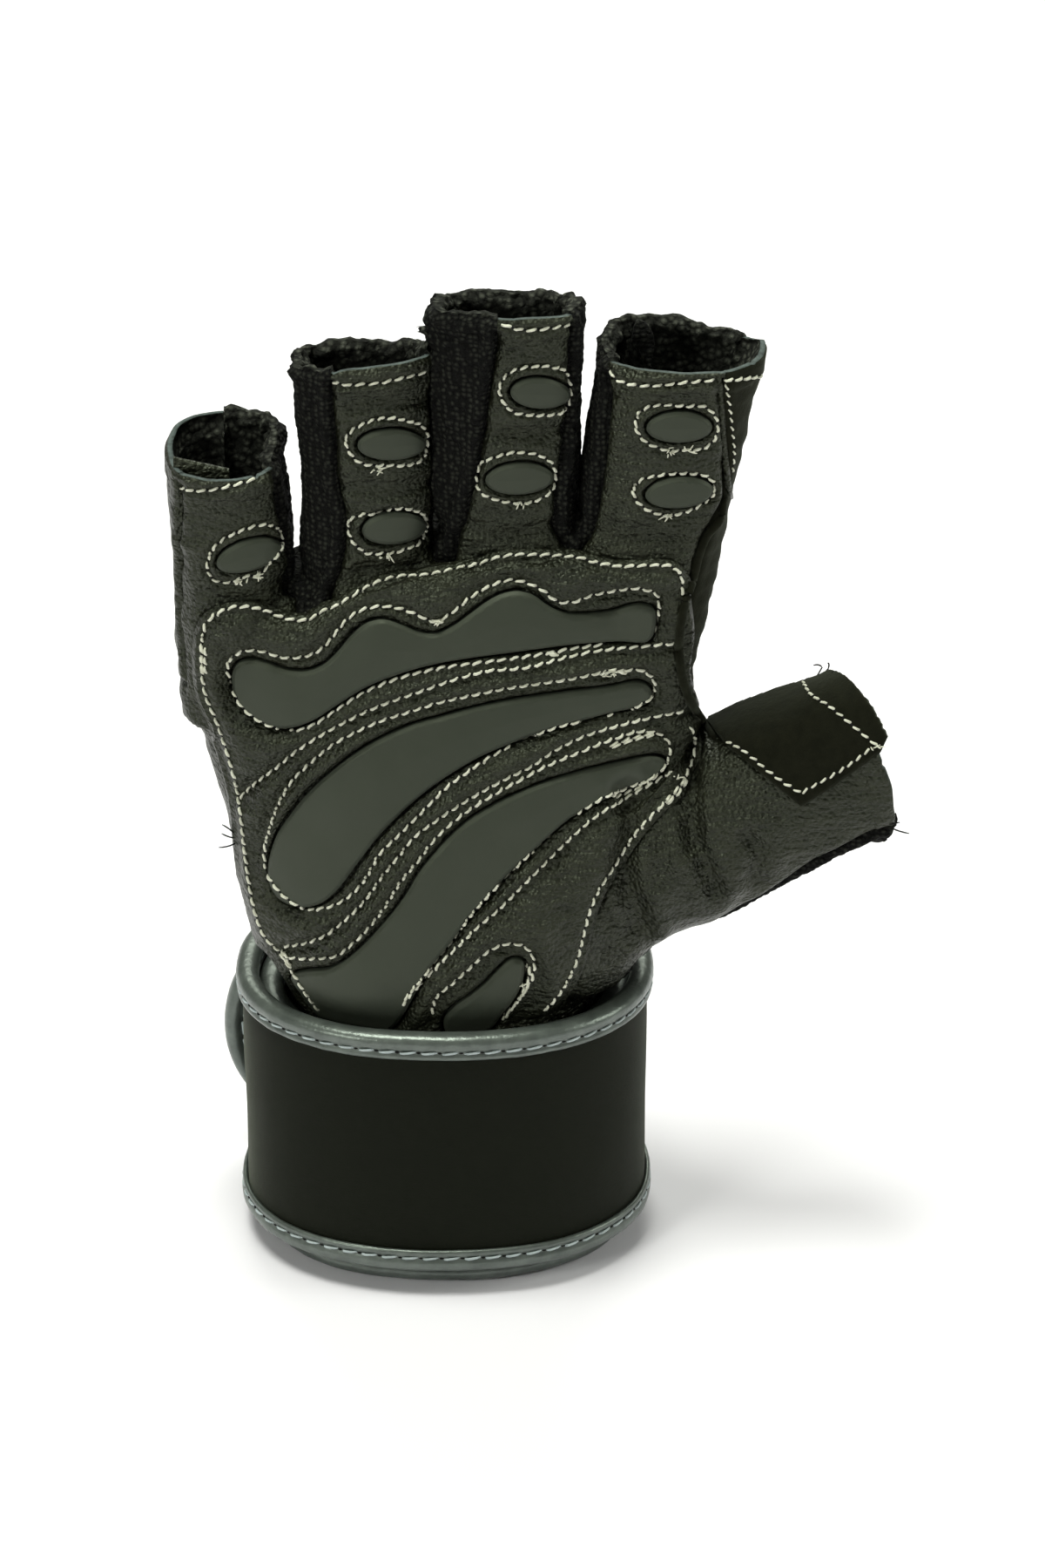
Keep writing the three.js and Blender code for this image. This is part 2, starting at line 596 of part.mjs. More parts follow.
// The cuff's line: a superellipse at a distance outside its cloth, by angle from the right side.
function cuffLine(angle, outside) {
  const along = (value) => Math.sign(value) * Math.abs(value) ** (2 / CUFF_SQUARENESS);
  return new THREE.Vector2(
    (CUFF_WIDTH / 2 + outside) * along(Math.cos(angle)),
    (CUFF_DEPTH / 2 + outside) * along(Math.sin(angle)),
  );
}

// Stations along a line on the floor plan, each with its place and its outward direction.
function stationsOn(points, endless = false) {
  return points.map((point, i) => {
    const before = points[endless ? (i + points.length - 1) % points.length : Math.max(i - 1, 0)];
    const after = points[endless ? (i + 1) % points.length : Math.min(i + 1, points.length - 1)];
    const forward = after.clone().sub(before).normalize();
    return { x: point.x, y: point.y, outX: forward.y, outY: -forward.x };
  });
}

const cuffPoints = Array.from({ length: FACETS.hand }, (_, i) =>
  cuffLine((2 * Math.PI * i) / FACETS.hand, -CUFF_WALL / 2),
);
const cuffStations = stationsOn(cuffPoints, true).map((station, i) => {
  const facing = Math.sin((2 * Math.PI * i) / FACETS.hand) ** 2;
  return { ...station, top: CUFF_HEIGHT - CUFF_DIP * facing ** 2 };
});

// A band of cloth through stations with a low and a high edge each.
function clothThrough(stations, thickness, endless) {
  const half = thickness / 2;
  return solidThrough(
    stations.map(({ x, y, outX, outY, bottom, top }) =>
      [[half, bottom], [half, top], [-half, top], [-half, bottom]].map(
        ([out, height]) => new THREE.Vector3(x + outX * out, y + outY * out, height),
      ),
    ),
    endless,
  );
}

// A binding folded over a cloth edge: a U swept along the edge. Each station gives the edge's place,
// the direction across the cloth and the direction beyond its edge.
function bindingAlong(stations, thickness, endless) {
  const inner = thickness / 2 + GAP;
  const outer = inner + BINDING_WALL;
  const profile = [[-outer, -BINDING_REACH], [-outer, GAP + BINDING_WALL],
    [outer, GAP + BINDING_WALL], [outer, -BINDING_REACH], [inner, -BINDING_REACH], [inner, GAP],
    [-inner, GAP], [-inner, -BINDING_REACH]];
  return solidThrough(
    stations.map(({ place, across, beyond }) =>
      profile.map(([out, up]) =>
        place.clone().addScaledVector(across, out).addScaledVector(beyond, up),
      ),
    ),
    endless,
  );
}

// The edge of a band, at its top (1) or bottom (-1), as stations for a binding.
function edgeOf(stations, side) {
  return stations.map(({ x, y, outX, outY, bottom, top }) => ({
    place: new THREE.Vector3(x, y, side > 0 ? top : bottom),
    across: new THREE.Vector3(outX, outY, 0),
    beyond: new THREE.Vector3(0, 0, side),
  }));
}

const bindingFoot = GAP + BINDING_WALL; // the cloth's edge above the binding's own foot
cuffStations.forEach((station) => {
  station.bottom = bindingFoot;
});
pieces.wrist_cuff = [clothThrough(cuffStations, CUFF_WALL, true), elastic];
pieces.cuff_binding_top = [bindingAlong(edgeOf(cuffStations, 1), CUFF_WALL, true), silver];
pieces.cuff_binding_bottom = [bindingAlong(edgeOf(cuffStations, -1), CUFF_WALL, true), silver];

// The strap starts at the back, goes round by the little finger's side, the front and the thumb's
// side, crosses the back again outside its own start and ends in a round tail that stands off.
const STRAP_START = 98; // degrees from the thumb's side, where 90 is the back
const STRAP_TURN = 375; // degrees from the start to where the tail leaves the curve
const STRAP_CLIMB = [300, 352]; // degrees after the start over which it climbs onto itself
const STRAP_STEPS = 33;
const firstOffset = STRAP_STANDOFF + STRAP_WALL / 2;
const layerStep = STRAP_WALL + 2 * BINDING_WALL + 3 * GAP;
const strapTurns = Array.from({ length: STRAP_STEPS + 1 }, (_, i) => (STRAP_TURN * i) / STRAP_STEPS);
const strapPoints = strapTurns.map((turned) => {
  const climbed = THREE.MathUtils.smoothstep(turned, ...STRAP_CLIMB);
  return cuffLine(radians(STRAP_START + turned), firstOffset + layerStep * climbed);
});
const leaving = strapPoints.at(-1).clone().sub(strapPoints.at(-2)).normalize();
const tailStart = strapPoints.at(-1).clone();
const endRadius = STRAP_HEIGHT / 2 - bindingFoot;
const strapMiddle = STRAP_LIFT + STRAP_HEIGHT / 2;
const tailMiddle = strapMiddle - STRAP_DROOP;
const roundStart = STRAP_TAIL - endRadius;
const ROUND_STEP = 12; // degrees, for the tail's cloth and its binding alike
const CLOTH_STEPS = 6; // the cloth ends in a short flat inside its binding
const roundAngles = Array.from({ length: CLOTH_STEPS + 1 }, (_, i) => ROUND_STEP * i);

const strapStations = stationsOn(strapPoints).map((station, i) => {
  const drooped = THREE.MathUtils.smoothstep(strapTurns[i], STRAP_TURN - 90, STRAP_TURN);
  const middle = strapMiddle - STRAP_DROOP * drooped;
  return { ...station, bottom: middle - endRadius, top: middle + endRadius };
});
const tailDirection = { outX: leaving.y, outY: -leaving.x };
Object.assign(strapStations.at(-1), tailDirection);
roundAngles.forEach((angle) => {
  const distance = roundStart + endRadius * Math.sin(radians(angle));
  if (distance < 0.5) return;
  const point = tailStart.clone().addScaledVector(leaving, distance);
  const half = endRadius * Math.cos(radians(angle));
  strapStations.push({ x: point.x, y: point.y, ...tailDirection,
    bottom: tailMiddle - half, top: tailMiddle + half });
});
pieces.wrist_strap = [clothThrough(strapStations, STRAP_WALL, false), elastic];

// The strap's binding: along the top edge, round the tail and back along the bottom edge.
const straightCount = STRAP_STEPS + 1;
const roundEdge = [];
const roundCentre = tailStart.clone().addScaledVector(leaving, roundStart);
for (let turned = 0; turned <= 180; turned += ROUND_STEP) {
  const angle = radians(90 - turned);
  const point = roundCentre.clone().addScaledVector(leaving, endRadius * Math.cos(angle));
  roundEdge.push({
    place: new THREE.Vector3(point.x, point.y, tailMiddle + endRadius * Math.sin(angle)),
    across: new THREE.Vector3(tailDirection.outX, tailDirection.outY, 0),
    beyond: new THREE.Vector3(
      leaving.x * Math.cos(angle),
      leaving.y * Math.cos(angle),
      Math.sin(angle),
    ),
  });
}
const beforeTail = strapStations.slice(0, straightCount);
pieces.strap_binding = [
  bindingAlong(
    [...edgeOf(beforeTail, 1), ...roundEdge, ...edgeOf(beforeTail, -1).reverse()],
    STRAP_WALL,
    false,
  ),
  silver,
];

// The glove's origin is on the floor, in the middle of its bounding box.
const glove = new THREE.Group();
for (const [name, [solid, material]] of Object.entries(pieces)) {
  const mesh = new THREE.Mesh(geometryOf(solid), material);
  mesh.name = name;
  glove.add(mesh);
}
const bounds = new THREE.Box3().setFromObject(glove);
const middleOfBox = bounds.getCenter(new THREE.Vector3());
glove.position.set(-middleOfBox.x, -middleOfBox.y, -bounds.min.z);

export default glove;
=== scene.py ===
import math

import bpy
import numpy as np
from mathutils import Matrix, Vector, noise
from mathutils.bvhtree import BVHTree
from mathutils.kdtree import KDTree


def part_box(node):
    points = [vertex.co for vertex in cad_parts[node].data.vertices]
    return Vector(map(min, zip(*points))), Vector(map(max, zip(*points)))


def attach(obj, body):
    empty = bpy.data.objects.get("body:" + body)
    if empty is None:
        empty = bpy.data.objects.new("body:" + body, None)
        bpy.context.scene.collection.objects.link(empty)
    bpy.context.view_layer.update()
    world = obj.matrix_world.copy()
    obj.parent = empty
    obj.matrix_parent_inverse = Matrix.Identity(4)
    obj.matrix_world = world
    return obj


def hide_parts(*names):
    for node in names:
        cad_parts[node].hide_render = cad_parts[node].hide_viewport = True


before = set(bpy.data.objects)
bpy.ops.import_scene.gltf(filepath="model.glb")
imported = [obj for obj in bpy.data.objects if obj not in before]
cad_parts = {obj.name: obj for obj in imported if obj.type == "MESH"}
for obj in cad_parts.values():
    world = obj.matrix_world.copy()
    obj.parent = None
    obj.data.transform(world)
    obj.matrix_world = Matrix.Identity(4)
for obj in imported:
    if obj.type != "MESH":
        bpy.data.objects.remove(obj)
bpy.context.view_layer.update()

# The view: the glove stands on its cuff on a white table and is seen from a little above, palm on.
# Places are in millimetres from the middle of the cuff, on the table, with the palm facing -Y.
MM = 0.001
cuff_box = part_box("wrist_cuff")
CUFF_CENTRE = np.array([(cuff_box[0][i] + cuff_box[1][i]) / 2 / MM for i in (0, 1)] + [0.0])
PHOTO = (1200, 1800)
LENS = 100
SENSOR = 36
CAMERA_ELEVATION = 25
CAMERA_DISTANCE = 870
AIM = np.array([15.8, 0, 97])
PIXELS_PER_TANGENT = LENS / SENSOR * PHOTO[1]
PIXELS_PER_MM = PIXELS_PER_TANGENT / CAMERA_DISTANCE

tilt = math.radians(CAMERA_ELEVATION)
towards_camera = np.array([0, -math.cos(tilt), math.sin(tilt)])
image_right = np.array([1.0, 0, 0])
image_up = np.array([0, math.sin(tilt), math.cos(tilt)])
eye = AIM + CAMERA_DISTANCE * towards_camera


def in_metres(points):
    return (np.asarray(points) + CUFF_CENTRE) * MM


def pixels_of(points):
    """Where points of the glove show in the photograph."""
    offset = points[:, :3] - eye
    depth = -offset @ towards_camera
    across = offset @ image_right / depth * PIXELS_PER_TANGENT
    up = offset @ image_up / depth * PIXELS_PER_TANGENT
    return np.stack([PHOTO[0] / 2 + across, PHOTO[1] / 2 - up], axis=1)


def sight(pixel):
    """The direction in which a pixel of the photograph looks."""
    across = (pixel[0] - PHOTO[0] / 2) / PIXELS_PER_TANGENT
    up = (PHOTO[1] / 2 - pixel[1]) / PIXELS_PER_TANGENT
    return Vector(across * image_right + up * image_up - towards_camera).normalized()


camera = bpy.data.objects.new("camera", bpy.data.cameras.new("camera"))
camera.data.lens = LENS
camera.data.sensor_width = SENSOR
camera.location = in_metres(eye)
camera.rotation_euler = (math.pi / 2 - tilt, 0, 0)
bpy.context.scene.collection.objects.link(camera)
bpy.context.scene.camera = camera

# The studio: a plain white table under one wide soft light from above and softer ones from the
# front, as for a catalogue picture on white.
TABLE_HALF = 9.0
TABLE_DROP = 0.0004  # the table's top is this far under the glove
TABLE_COLOUR = (0.89, 0.86, 0.93)
LIGHT_COLOUR = (0.965, 1.0, 0.90)
SKY_STRENGTH = 0.19
LIGHTS = [  # name, place, aim, size in metres, watts
    ("overhead", (-0.2, -0.12, 1.2), (0, 0, 0.1), 0.5, 12),
    ("backdrop", (0.0, 1.3, 1.3), (0, 0.8, 0), 1.2, 20),
    ("front_left", (-0.9, -1.0, 0.75), (0, 0, 0.1), 0.4, 6),
    ("right", (1.1, -0.1, 0.6), (0, 0, 0.1), 0.5, 4.5),
]
table = bpy.data.meshes.new("table")
table.from_pydata(
    [(x * TABLE_HALF, y * TABLE_HALF, -TABLE_DROP) for x, y in ((-1, -1), (1, -1), (1, 1), (-1, 1))],
    [],
    [(0, 1, 2, 3)],
)
table_top = bpy.data.objects.new("table_top", table)
bpy.context.scene.collection.objects.link(table_top)
white = bpy.data.materials.new("white_table")
white.use_nodes = True
white_shader = white.node_tree.nodes["Principled BSDF"]
white_shader.inputs["Base Color"].default_value = (*TABLE_COLOUR, 1)
white_shader.inputs["Roughness"].default_value = 0.6
white_shader.inputs["Specular IOR Level"].default_value = 0.2
table.materials.append(white)

sky = bpy.data.worlds.new("studio")
bpy.context.scene.world = sky
sky.use_nodes = True
sky.node_tree.nodes["Background"].inputs["Color"].default_value = (*LIGHT_COLOUR, 1)
sky.node_tree.nodes["Background"].inputs["Strength"].default_value = SKY_STRENGTH
for name, place, aim, size, watts in LIGHTS:
    lamp = bpy.data.lights.new(name, "AREA")
    lamp.shape = "DISK"
    lamp.size = size
    lamp.energy = watts
    lamp.color = LIGHT_COLOUR
    lit = bpy.data.objects.new(name, lamp)
    lit.location = place
    lit.rotation_euler = (Vector(aim) - Vector(place)).to_track_quat("-Z", "Y").to_euler()
    bpy.context.scene.collection.objects.link(lit)
bpy.context.scene.view_settings.view_transform = "Standard"

# The hand's form: a palm, four half fingers and a thumb, each a tube through a few sections, joined
# into one skin from which the leather and knit panels are cut, as a glove's are cut for one last.
HEEL = 55
PALM_WIDTH = 100
PALM_DEPTH = 44
PALM_HEIGHT = 102
WRIST_FOOT = 36
WRIST_FREE = 57.8
FINGER_LENGTH = 50
FINGER_WIDTH = 26.5
FINGER_DEPTH = 23
THUMB_LENGTH = 69.5
THUMB_WIDTH = 33.2
THUMB_DEPTH = 27
THUMB_RISE = 28
THUMB_FORWARD = 7
THUMB_TIP_FORWARD = 31  # degrees by which the thumb's opening is cut longer in front
THUMB_TIP_UP = 9.5  # and on top
SKIN_STEP = 1.1
FINGER_ROOT_UP = 0.6  # of PALM_HEIGHT
FINGER_ROOT_Y = -0.07  # of PALM_WIDTH
FINGER_TOP_Y = -0.115
THUMB_ROOT = (0.195, -0.04, 0.2)  # of PALM_WIDTH, PALM_WIDTH and PALM_HEIGHT
SPARE = 9  # how far the tubes run past the openings before they are trimmed
FINGER_SPLIT = 1.4  # half the gap that keeps two fingers apart while the skin is joined

# height, left, right, front, back, lean, squareness
palm_sections = [(WRIST_FOOT - SPARE, 32.4, 32.4, 25.9, 25.9, 0, 2.25),
                 (WRIST_FREE, 32.4, 32.4, 25.9, 25.9, 0, 2.25)]
# up as a share of PALM_HEIGHT, left, right and lean of PALM_WIDTH, front and back of PALM_DEPTH
for up, left, right, front, back, lean in [
    (0.09, 0.355, 0.35, 0.64, 0.56, 0),
    (0.22, 0.39, 0.45, 0.65, 0.55, 0),
    (0.46, 0.45, 0.49, 0.6, 0.48, 0),
    (0.67, 0.5, 0.49, 0.55, 0.41, 0.02),
    (0.83, 0.52, 0.5, 0.52, 0.34, 0.06),
    (0.9, 0.51, 0.5, 0.49, 0.27, 0.09),
    (0.965, 0.485, 0.47, 0.33, 0.12, 0.125),
]:
    palm_sections.append((HEEL + up * PALM_HEIGHT, left * PALM_WIDTH, right * PALM_WIDTH,
                          front * PALM_DEPTH, back * PALM_DEPTH, lean * PALM_WIDTH, 2.5))
# name, root and top across as shares of PALM_WIDTH, top of FINGER_LENGTH above the crotches, width
# and depth of the middle finger's, tilt of the opening, crotch on its left as share of PALM_HEIGHT
FINGERS = [("pinky", -0.405, -0.4, 0.33, 0.87, 1.0, 9, None),
           ("ring", -0.135, -0.148, 0.68, 0.94, 0.96, -8, 0.888),
           ("middle", 0.125, 0.128, 0.87, 1, 0.98, -6, 1.0),
           ("index", 0.336, 0.462, 0.7, 1.1, 1.04, 6, 1.01)]
# along a finger as a share of its length, and its size there as a share of its width and depth
finger_sizes = [(0, 0.9), (0.3, 0.96), (0.6, 0.98), (1, 1.02)]
# along, width, depth and rise of the thumb's sections as shares of its own sizes
thumb_sections = [(0, 1.22, 1.42, -0.18), (0.24, 1.19, 1.42, 0.04), (0.54, 1.07, 1.26, -0.01),
                  (0.8, 1.03, 1.08, 0.02), (1, 1, 1, 0)]


def curve(points, step, closed=False):
    """Places at even steps along a smooth line through the given points."""
    given = np.asarray(points, float)
    if closed:
        given = np.vstack([given, given[:1]])
    spans = np.maximum(np.linalg.norm(np.diff(given, axis=0), axis=1), 1e-6)[:, None]
    slopes = np.diff(given, axis=0) / spans
    inner = (slopes[:-1] * spans[1:] + slopes[1:] * spans[:-1]) / (spans[:-1] + spans[1:])
    ends = (slopes[-1:] + slopes[:1]) / 2 if closed else None
    tangents = np.vstack([ends if closed else slopes[:1], inner, ends if closed else slopes[-1:]])
    t = np.linspace(0, 1, 10, endpoint=False)[:, None]
    fine = [
        (1 + 2 * t) * (1 - t) ** 2 * a + t * (1 - t) ** 2 * s * u
        + t * t * (3 - 2 * t) * b + t * t * (t - 1) * s * v
        for a, b, s, u, v in zip(given, given[1:], spans, tangents, tangents[1:])
    ]
    fine = np.vstack([*fine, given[-1:]])
    length = np.r_[0, np.cumsum(np.linalg.norm(np.diff(fine, axis=0), axis=1))]
    count = max(2, round(length[-1] / step) + 1)
    at = np.linspace(0, length[-1], count)
    even = np.stack([np.interp(at, length, column) for column in fine.T], axis=1)
    return even[:-1] if closed else even


def round_section(half_width, half_depth, squareness, count=88):
    angle = np.arange(count) * 2 * math.pi / count
    bend = 2 / squareness
    across = np.sign(np.cos(angle)) * np.abs(np.cos(angle)) ** bend * half_width
    deep = np.sign(np.sin(angle)) * np.abs(np.sin(angle)) ** bend * half_depth
    return across[:, None], deep[:, None]


def tube(rings):
    """Points and faces of a closed tube through rings of points."""
    count = len(rings[0])
    points = np.vstack([*rings, rings[0].mean(0), rings[-1].mean(0)])
    i = np.arange(count)
    j = (i + 1) % count
    faces = [np.stack([r * count + i, r * count + j, (r + 1) * count + j, (r + 1) * count + i], 1)
             for r in range(len(rings) - 1)]
    quads = np.vstack(faces).tolist()
    last = (len(rings) - 1) * count
    quads += [[b, a, len(points) - 2] for a, b in zip(i, j)]
    quads += [[last + a, last + b, len(points) - 1] for a, b in zip(i, j)]
    return points, quads


def palm_tube():
    rings = []
    for height, left, right, front, back, lean, squareness in curve(palm_sections, 3):
        half = (left + right) / 2
        across, deep = round_section(half, (front + back) / 2, squareness)
        rings.append(np.hstack([(right - left) / 2 + across, (back - front) / 2 + deep,
                                height + lean * across / half]))
    return tube(rings)


class Limb:
    """A finger or the thumb: its root, its directions and its sizes."""

    def __init__(self, name, root, axis, front, half_width, half_depth, length, slope):
        self.name, self.root, self.length, self.slope = name, root, length, slope
        self.axis = axis / np.linalg.norm(axis)
        side = np.cross(self.axis, front)
        self.side = side / np.linalg.norm(side)
        self.front = np.cross(self.side, self.axis)
        self.half_width, self.half_depth = half_width, half_depth

    def places(self, points):
        offset = points[:, :3] - self.root
        return offset @ self.axis, offset @ self.side, offset @ self.front

    def ring(self, distance, width, depth, rise, squareness):
        side, forward = round_section(width, depth, squareness)
        return (self.root + distance * self.axis + (side + rise) * self.side
                + forward * self.front)


limbs = []
for name, root_x, top_x, top, width, depth, lean, crotch in FINGERS:
    root = np.array([root_x * PALM_WIDTH, FINGER_ROOT_Y * PALM_WIDTH,
                     HEEL + FINGER_ROOT_UP * PALM_HEIGHT])
    end = np.array([top_x * PALM_WIDTH, FINGER_TOP_Y * PALM_WIDTH,
                    HEEL + PALM_HEIGHT + top * FINGER_LENGTH])
    limb = Limb(name, root, end - root, np.array([0, -1, 0]), width * FINGER_WIDTH / 2,
                depth * FINGER_DEPTH / 2, np.linalg.norm(end - root), math.tan(math.radians(lean)))
    if limb.side[0] < 0:
        limb.side = -limb.side
    limb.crotch = HEEL + crotch * PALM_HEIGHT if crotch else 0
    limbs.append(limb)
rise, forward = math.radians(THUMB_RISE), math.radians(THUMB_FORWARD)
thumb_axis = np.array([math.cos(rise) * math.cos(forward), -math.cos(rise) * math.sin(forward),
                       math.sin(rise)])
thumb_root = np.array([THUMB_ROOT[0] * PALM_WIDTH, THUMB_ROOT[1] * PALM_WIDTH,
                       HEEL + THUMB_ROOT[2] * PALM_HEIGHT])
thumb = Limb("thumb", thumb_root, thumb_axis, np.array([0, -1, 0]), THUMB_WIDTH / 2,
             THUMB_DEPTH / 2, THUMB_LENGTH, 0)
thumb.side = np.array([0, 0, 1]) - thumb_axis[2] * thumb_axis
thumb.side /= np.linalg.norm(thumb.side)
thumb.front = np.cross(thumb.axis, thumb.side)


def along_at(limb, height):
    return (height - limb.root[2]) / limb.axis[2]


def between(left, right, height):
    """Where the middle of the gap between two fingers is at a height, as x."""
    left_side = limb_x(left, height) + left.half_width
    return (left_side + limb_x(right, height) - right.half_width) / 2


def limb_x(limb, height):
    return limb.root[0] + along_at(limb, height) * limb.axis[0]


def finger_tube(limb):
    # sizes are drawn out to about millimetres, so that the steps along the curve are even
    rows = curve([(along * limb.length, size * 10) for along, size in finger_sizes], 3)
    rings = [limb.ring(d, limb.half_width * s / 10, limb.half_depth * s / 10, 0, 2.7)
             for d, s in rows]
    rings.append(rings[-1] + SPARE * limb.axis)
    for left, right in zip(limbs, limbs[1:]):
        for ring in rings:
            x, height = ring[:, 0], ring[:, 2]
            apart = between(left, right, height)
            if limb is left:
                x[:] = np.where(height > right.crotch, np.minimum(x, apart - FINGER_SPLIT), x)
            if limb is right:
                x[:] = np.where(height > right.crotch, np.maximum(x, apart + FINGER_SPLIT), x)
    return tube(rings)


def thumb_tube():
    # sizes are drawn out in the same way
    rows = curve([(a * THUMB_LENGTH, w * 18, d * 14, r * 36) for a, w, d, r in thumb_sections], 3)
    rings = [thumb.ring(a, w / 18 * THUMB_WIDTH / 2, d / 14 * THUMB_DEPTH / 2,
                        r / 36 * THUMB_WIDTH, 2.3) for a, w, d, r in rows]
    rings = [*rings, rings[-1] + 2 * SPARE * thumb.axis]
    for ring in rings:
        ring[:, 2] = np.maximum(ring[:, 2], WRIST_FREE + 0.01 * ring[:, 2])
    return tube(rings)


def joined_skin(tubes):
    """One closed skin round all the tubes, as points with their normals, and triangles."""
    points, faces = [], []
    for tube_points, tube_faces in tubes:
        start = sum(len(p) for p in points)
        faces += [[start + i for i in face] for face in tube_faces]
        points.append(tube_points)
    mesh = bpy.data.meshes.new("skin")
    mesh.from_pydata(np.vstack(points).tolist(), [], faces)
    form = bpy.data.objects.new("skin", mesh)
    bpy.context.scene.collection.objects.link(form)
    fill = form.modifiers.new("join", "REMESH")
    fill.mode = "VOXEL"
    fill.voxel_size = SKIN_STEP
    ease = form.modifiers.new("ease", "SMOOTH")
    ease.factor = 0.5
    ease.iterations = 9
    made = form.evaluated_get(bpy.context.evaluated_depsgraph_get()).to_mesh()
    made.calc_loop_triangles()
    place = np.empty(len(made.vertices) * 3, np.float32)
    made.vertices.foreach_get("co", place)
    normal = np.empty(len(made.vertices) * 3, np.float32)
    made.vertices.foreach_get("normal", normal)
    corner = np.empty(len(made.loop_triangles) * 3, np.int32)
    made.loop_triangles.foreach_get("vertices", corner)
    bpy.data.objects.remove(form)
    skin = np.hstack([place.reshape(-1, 3), normal.reshape(-1, 3)]).astype(float)
    return skin, corner.reshape(-1, 3).astype(int)


skin = joined_skin([palm_tube(), thumb_tube(), *(finger_tube(limb) for limb in limbs)])


def compact(points, faces):
    used, where = np.unique(faces, return_inverse=True)
    return points[used], where.reshape(-1, 3)


SNAP = 0.2  # a corner this near to a cut, as a share of its edge, moves on to it


def parted(sheet, value):
    """Cuts triangles along the line where value is 0. Returns the points, the triangles on the
    side above 0 and those on the side below."""
    points, faces = sheet[0].copy(), sheet[1]
    value = value.copy()
    sides = np.vstack([faces[:, [0, 1]], faces[:, [1, 2]], faces[:, [2, 0]]])
    a, b = np.unique(np.sort(sides, axis=1), axis=0).T
    crossing = value[a] * value[b] < 0
    a, b = a[crossing], b[crossing]
    share = value[a] / (value[a] - value[b])
    for near, other, moved in ((a, b, share), (b, a, 1 - share)):
        close = moved < SNAP
        step = points[other[close]] - points[near[close]]
        points[near[close]] += moved[close, None] * step
        value[near[close]] = 0
    sign = np.sign(value)
    corner = sign[faces]
    mixed = (corner.min(1) < 0) & (corner.max(1) > 0)
    above = [faces[~mixed & (corner.max(1) > 0)]]
    below = [faces[~mixed & (corner.max(1) <= 0)]]
    split, signs = faces[mixed], corner[mixed]

    def turned(triangles, first):
        return np.take_along_axis(triangles, (first[:, None] + np.arange(3)) % 3, 1)

    touching = (signs == 0).any(1)
    z = turned(split[touching], (signs[touching] == 0).argmax(1))
    free = signs[~touching]
    k = turned(split[~touching], (free == -free.sum(1)[:, None]).argmax(1))
    pairs = np.sort(np.vstack([z[:, [1, 2]], k[:, [0, 1]], k[:, [0, 2]]]), axis=1)
    edges, where = np.unique(pairs, axis=0, return_inverse=True)
    u, v = edges.T
    share = (value[u] / (value[u] - value[v]))[:, None]
    where = where.ravel() + len(points)
    points = np.vstack([points, points[u] + share * (points[v] - points[u])])
    m, p, q = np.split(where, [len(z), len(z) + len(k)])
    made = [(z[:, 0], z[:, 1], m, sign[z[:, 1]]), (z[:, 0], m, z[:, 2], sign[z[:, 2]]),
            (k[:, 0], p, q, sign[k[:, 0]]), (p, k[:, 1], k[:, 2], sign[k[:, 1]]),
            (p, k[:, 2], q, sign[k[:, 1]])]
    for a, b, c, side in made:
        triangles = np.stack([a, b, c], 1)
        above.append(triangles[side > 0])
        below.append(triangles[side < 0])
    return points, np.vstack(above), np.vstack(below)


def cut(sheet, field):
    """The part of a sheet where the field is above 0, and the rest."""
    points, above, below = parted(sheet, field(sheet[0]))
    return compact(points, above), compact(points, below)


def lumps(points, size, seed=0):
    """Soft random relief from -1 to 1, with lumps of about this size in millimetres."""
    shift = Vector((seed * 17.3, seed * 5.1, seed * 9.7))
    return np.array([noise.noise(Vector(p) / size + shift) for p in points[:, :3].tolist()])


def steps(low, high, value):
    share = np.clip((value - low) / (high - low), 0, 1)
    return share * share * (3 - 2 * share)


def bell(value, width):
    return np.exp(-((value / width) ** 2))


def line_distance(line, places, closed=False):
    """How far places are from a line, in two or three dimensions."""
    ends = np.roll(line, -1, 0) if closed else line[1:]
    best = np.full(len(places), 1e9)
    for start, end in zip(line, ends):
        along = end - start
        share = np.clip((places - start) @ along / max(along @ along, 1e-9), 0, 1)
        gap = places - start - share[:, None] * along
        best = np.minimum(best, np.einsum("ij,ij->i", gap, gap))
    return np.sqrt(best)


# how much longer a finger's front is cut, in mm, and how much more of it towards the thumb's side
FRONT_TRIM = {"ring": (0.6, 0.085), "middle": (1.4, 0.0), "index": (2.2, 0.17)}


def rim_height(points):
    """How far a point is beyond the opening of its finger or of the thumb, negative below it."""
    across = np.stack([np.abs(limb.places(points)[1]) / limb.half_width for limb in limbs])
    nearest = across.argmin(0)
    beyond = np.full(len(points), -40.0)
    for i, limb in enumerate(limbs):
        distance, side, forward = limb.places(points)
        own = (nearest == i) & (points[:, 2] > HEEL + 0.95 * PALM_HEIGHT) & (points[:, 0] < 75)
        more, slant = FRONT_TRIM.get(limb.name, (0, 0))
        longer = (more + slant * side) * steps(-12, 2, forward)
        beyond[own] = (distance + forward * limb.slope - longer - limb.length)[own]
    distance, height, forward = thumb.places(points)
    own = (distance > 0.5 * THUMB_LENGTH) & (points[:, 2] < HEEL + 0.78 * PALM_HEIGHT)
    longer = (forward * math.tan(math.radians(THUMB_TIP_FORWARD))
              + height * math.tan(math.radians(THUMB_TIP_UP)))
    beyond[own] = (distance - longer - thumb.length)[own]
    return beyond


# height, and how far the little and the ring finger keep from the middle of their gap, in mm
LITTLE_GAP = [(146, 0.1, 0.1), (150, 0.3, 0.2), (157, 1.2, 0.6), (164, 2.3, 1.2), (171, 3.4, 1.3),
              (180, 3.4, 0.8), (190, 3.4, 0.1)]
OTHER_GAP = 0.12


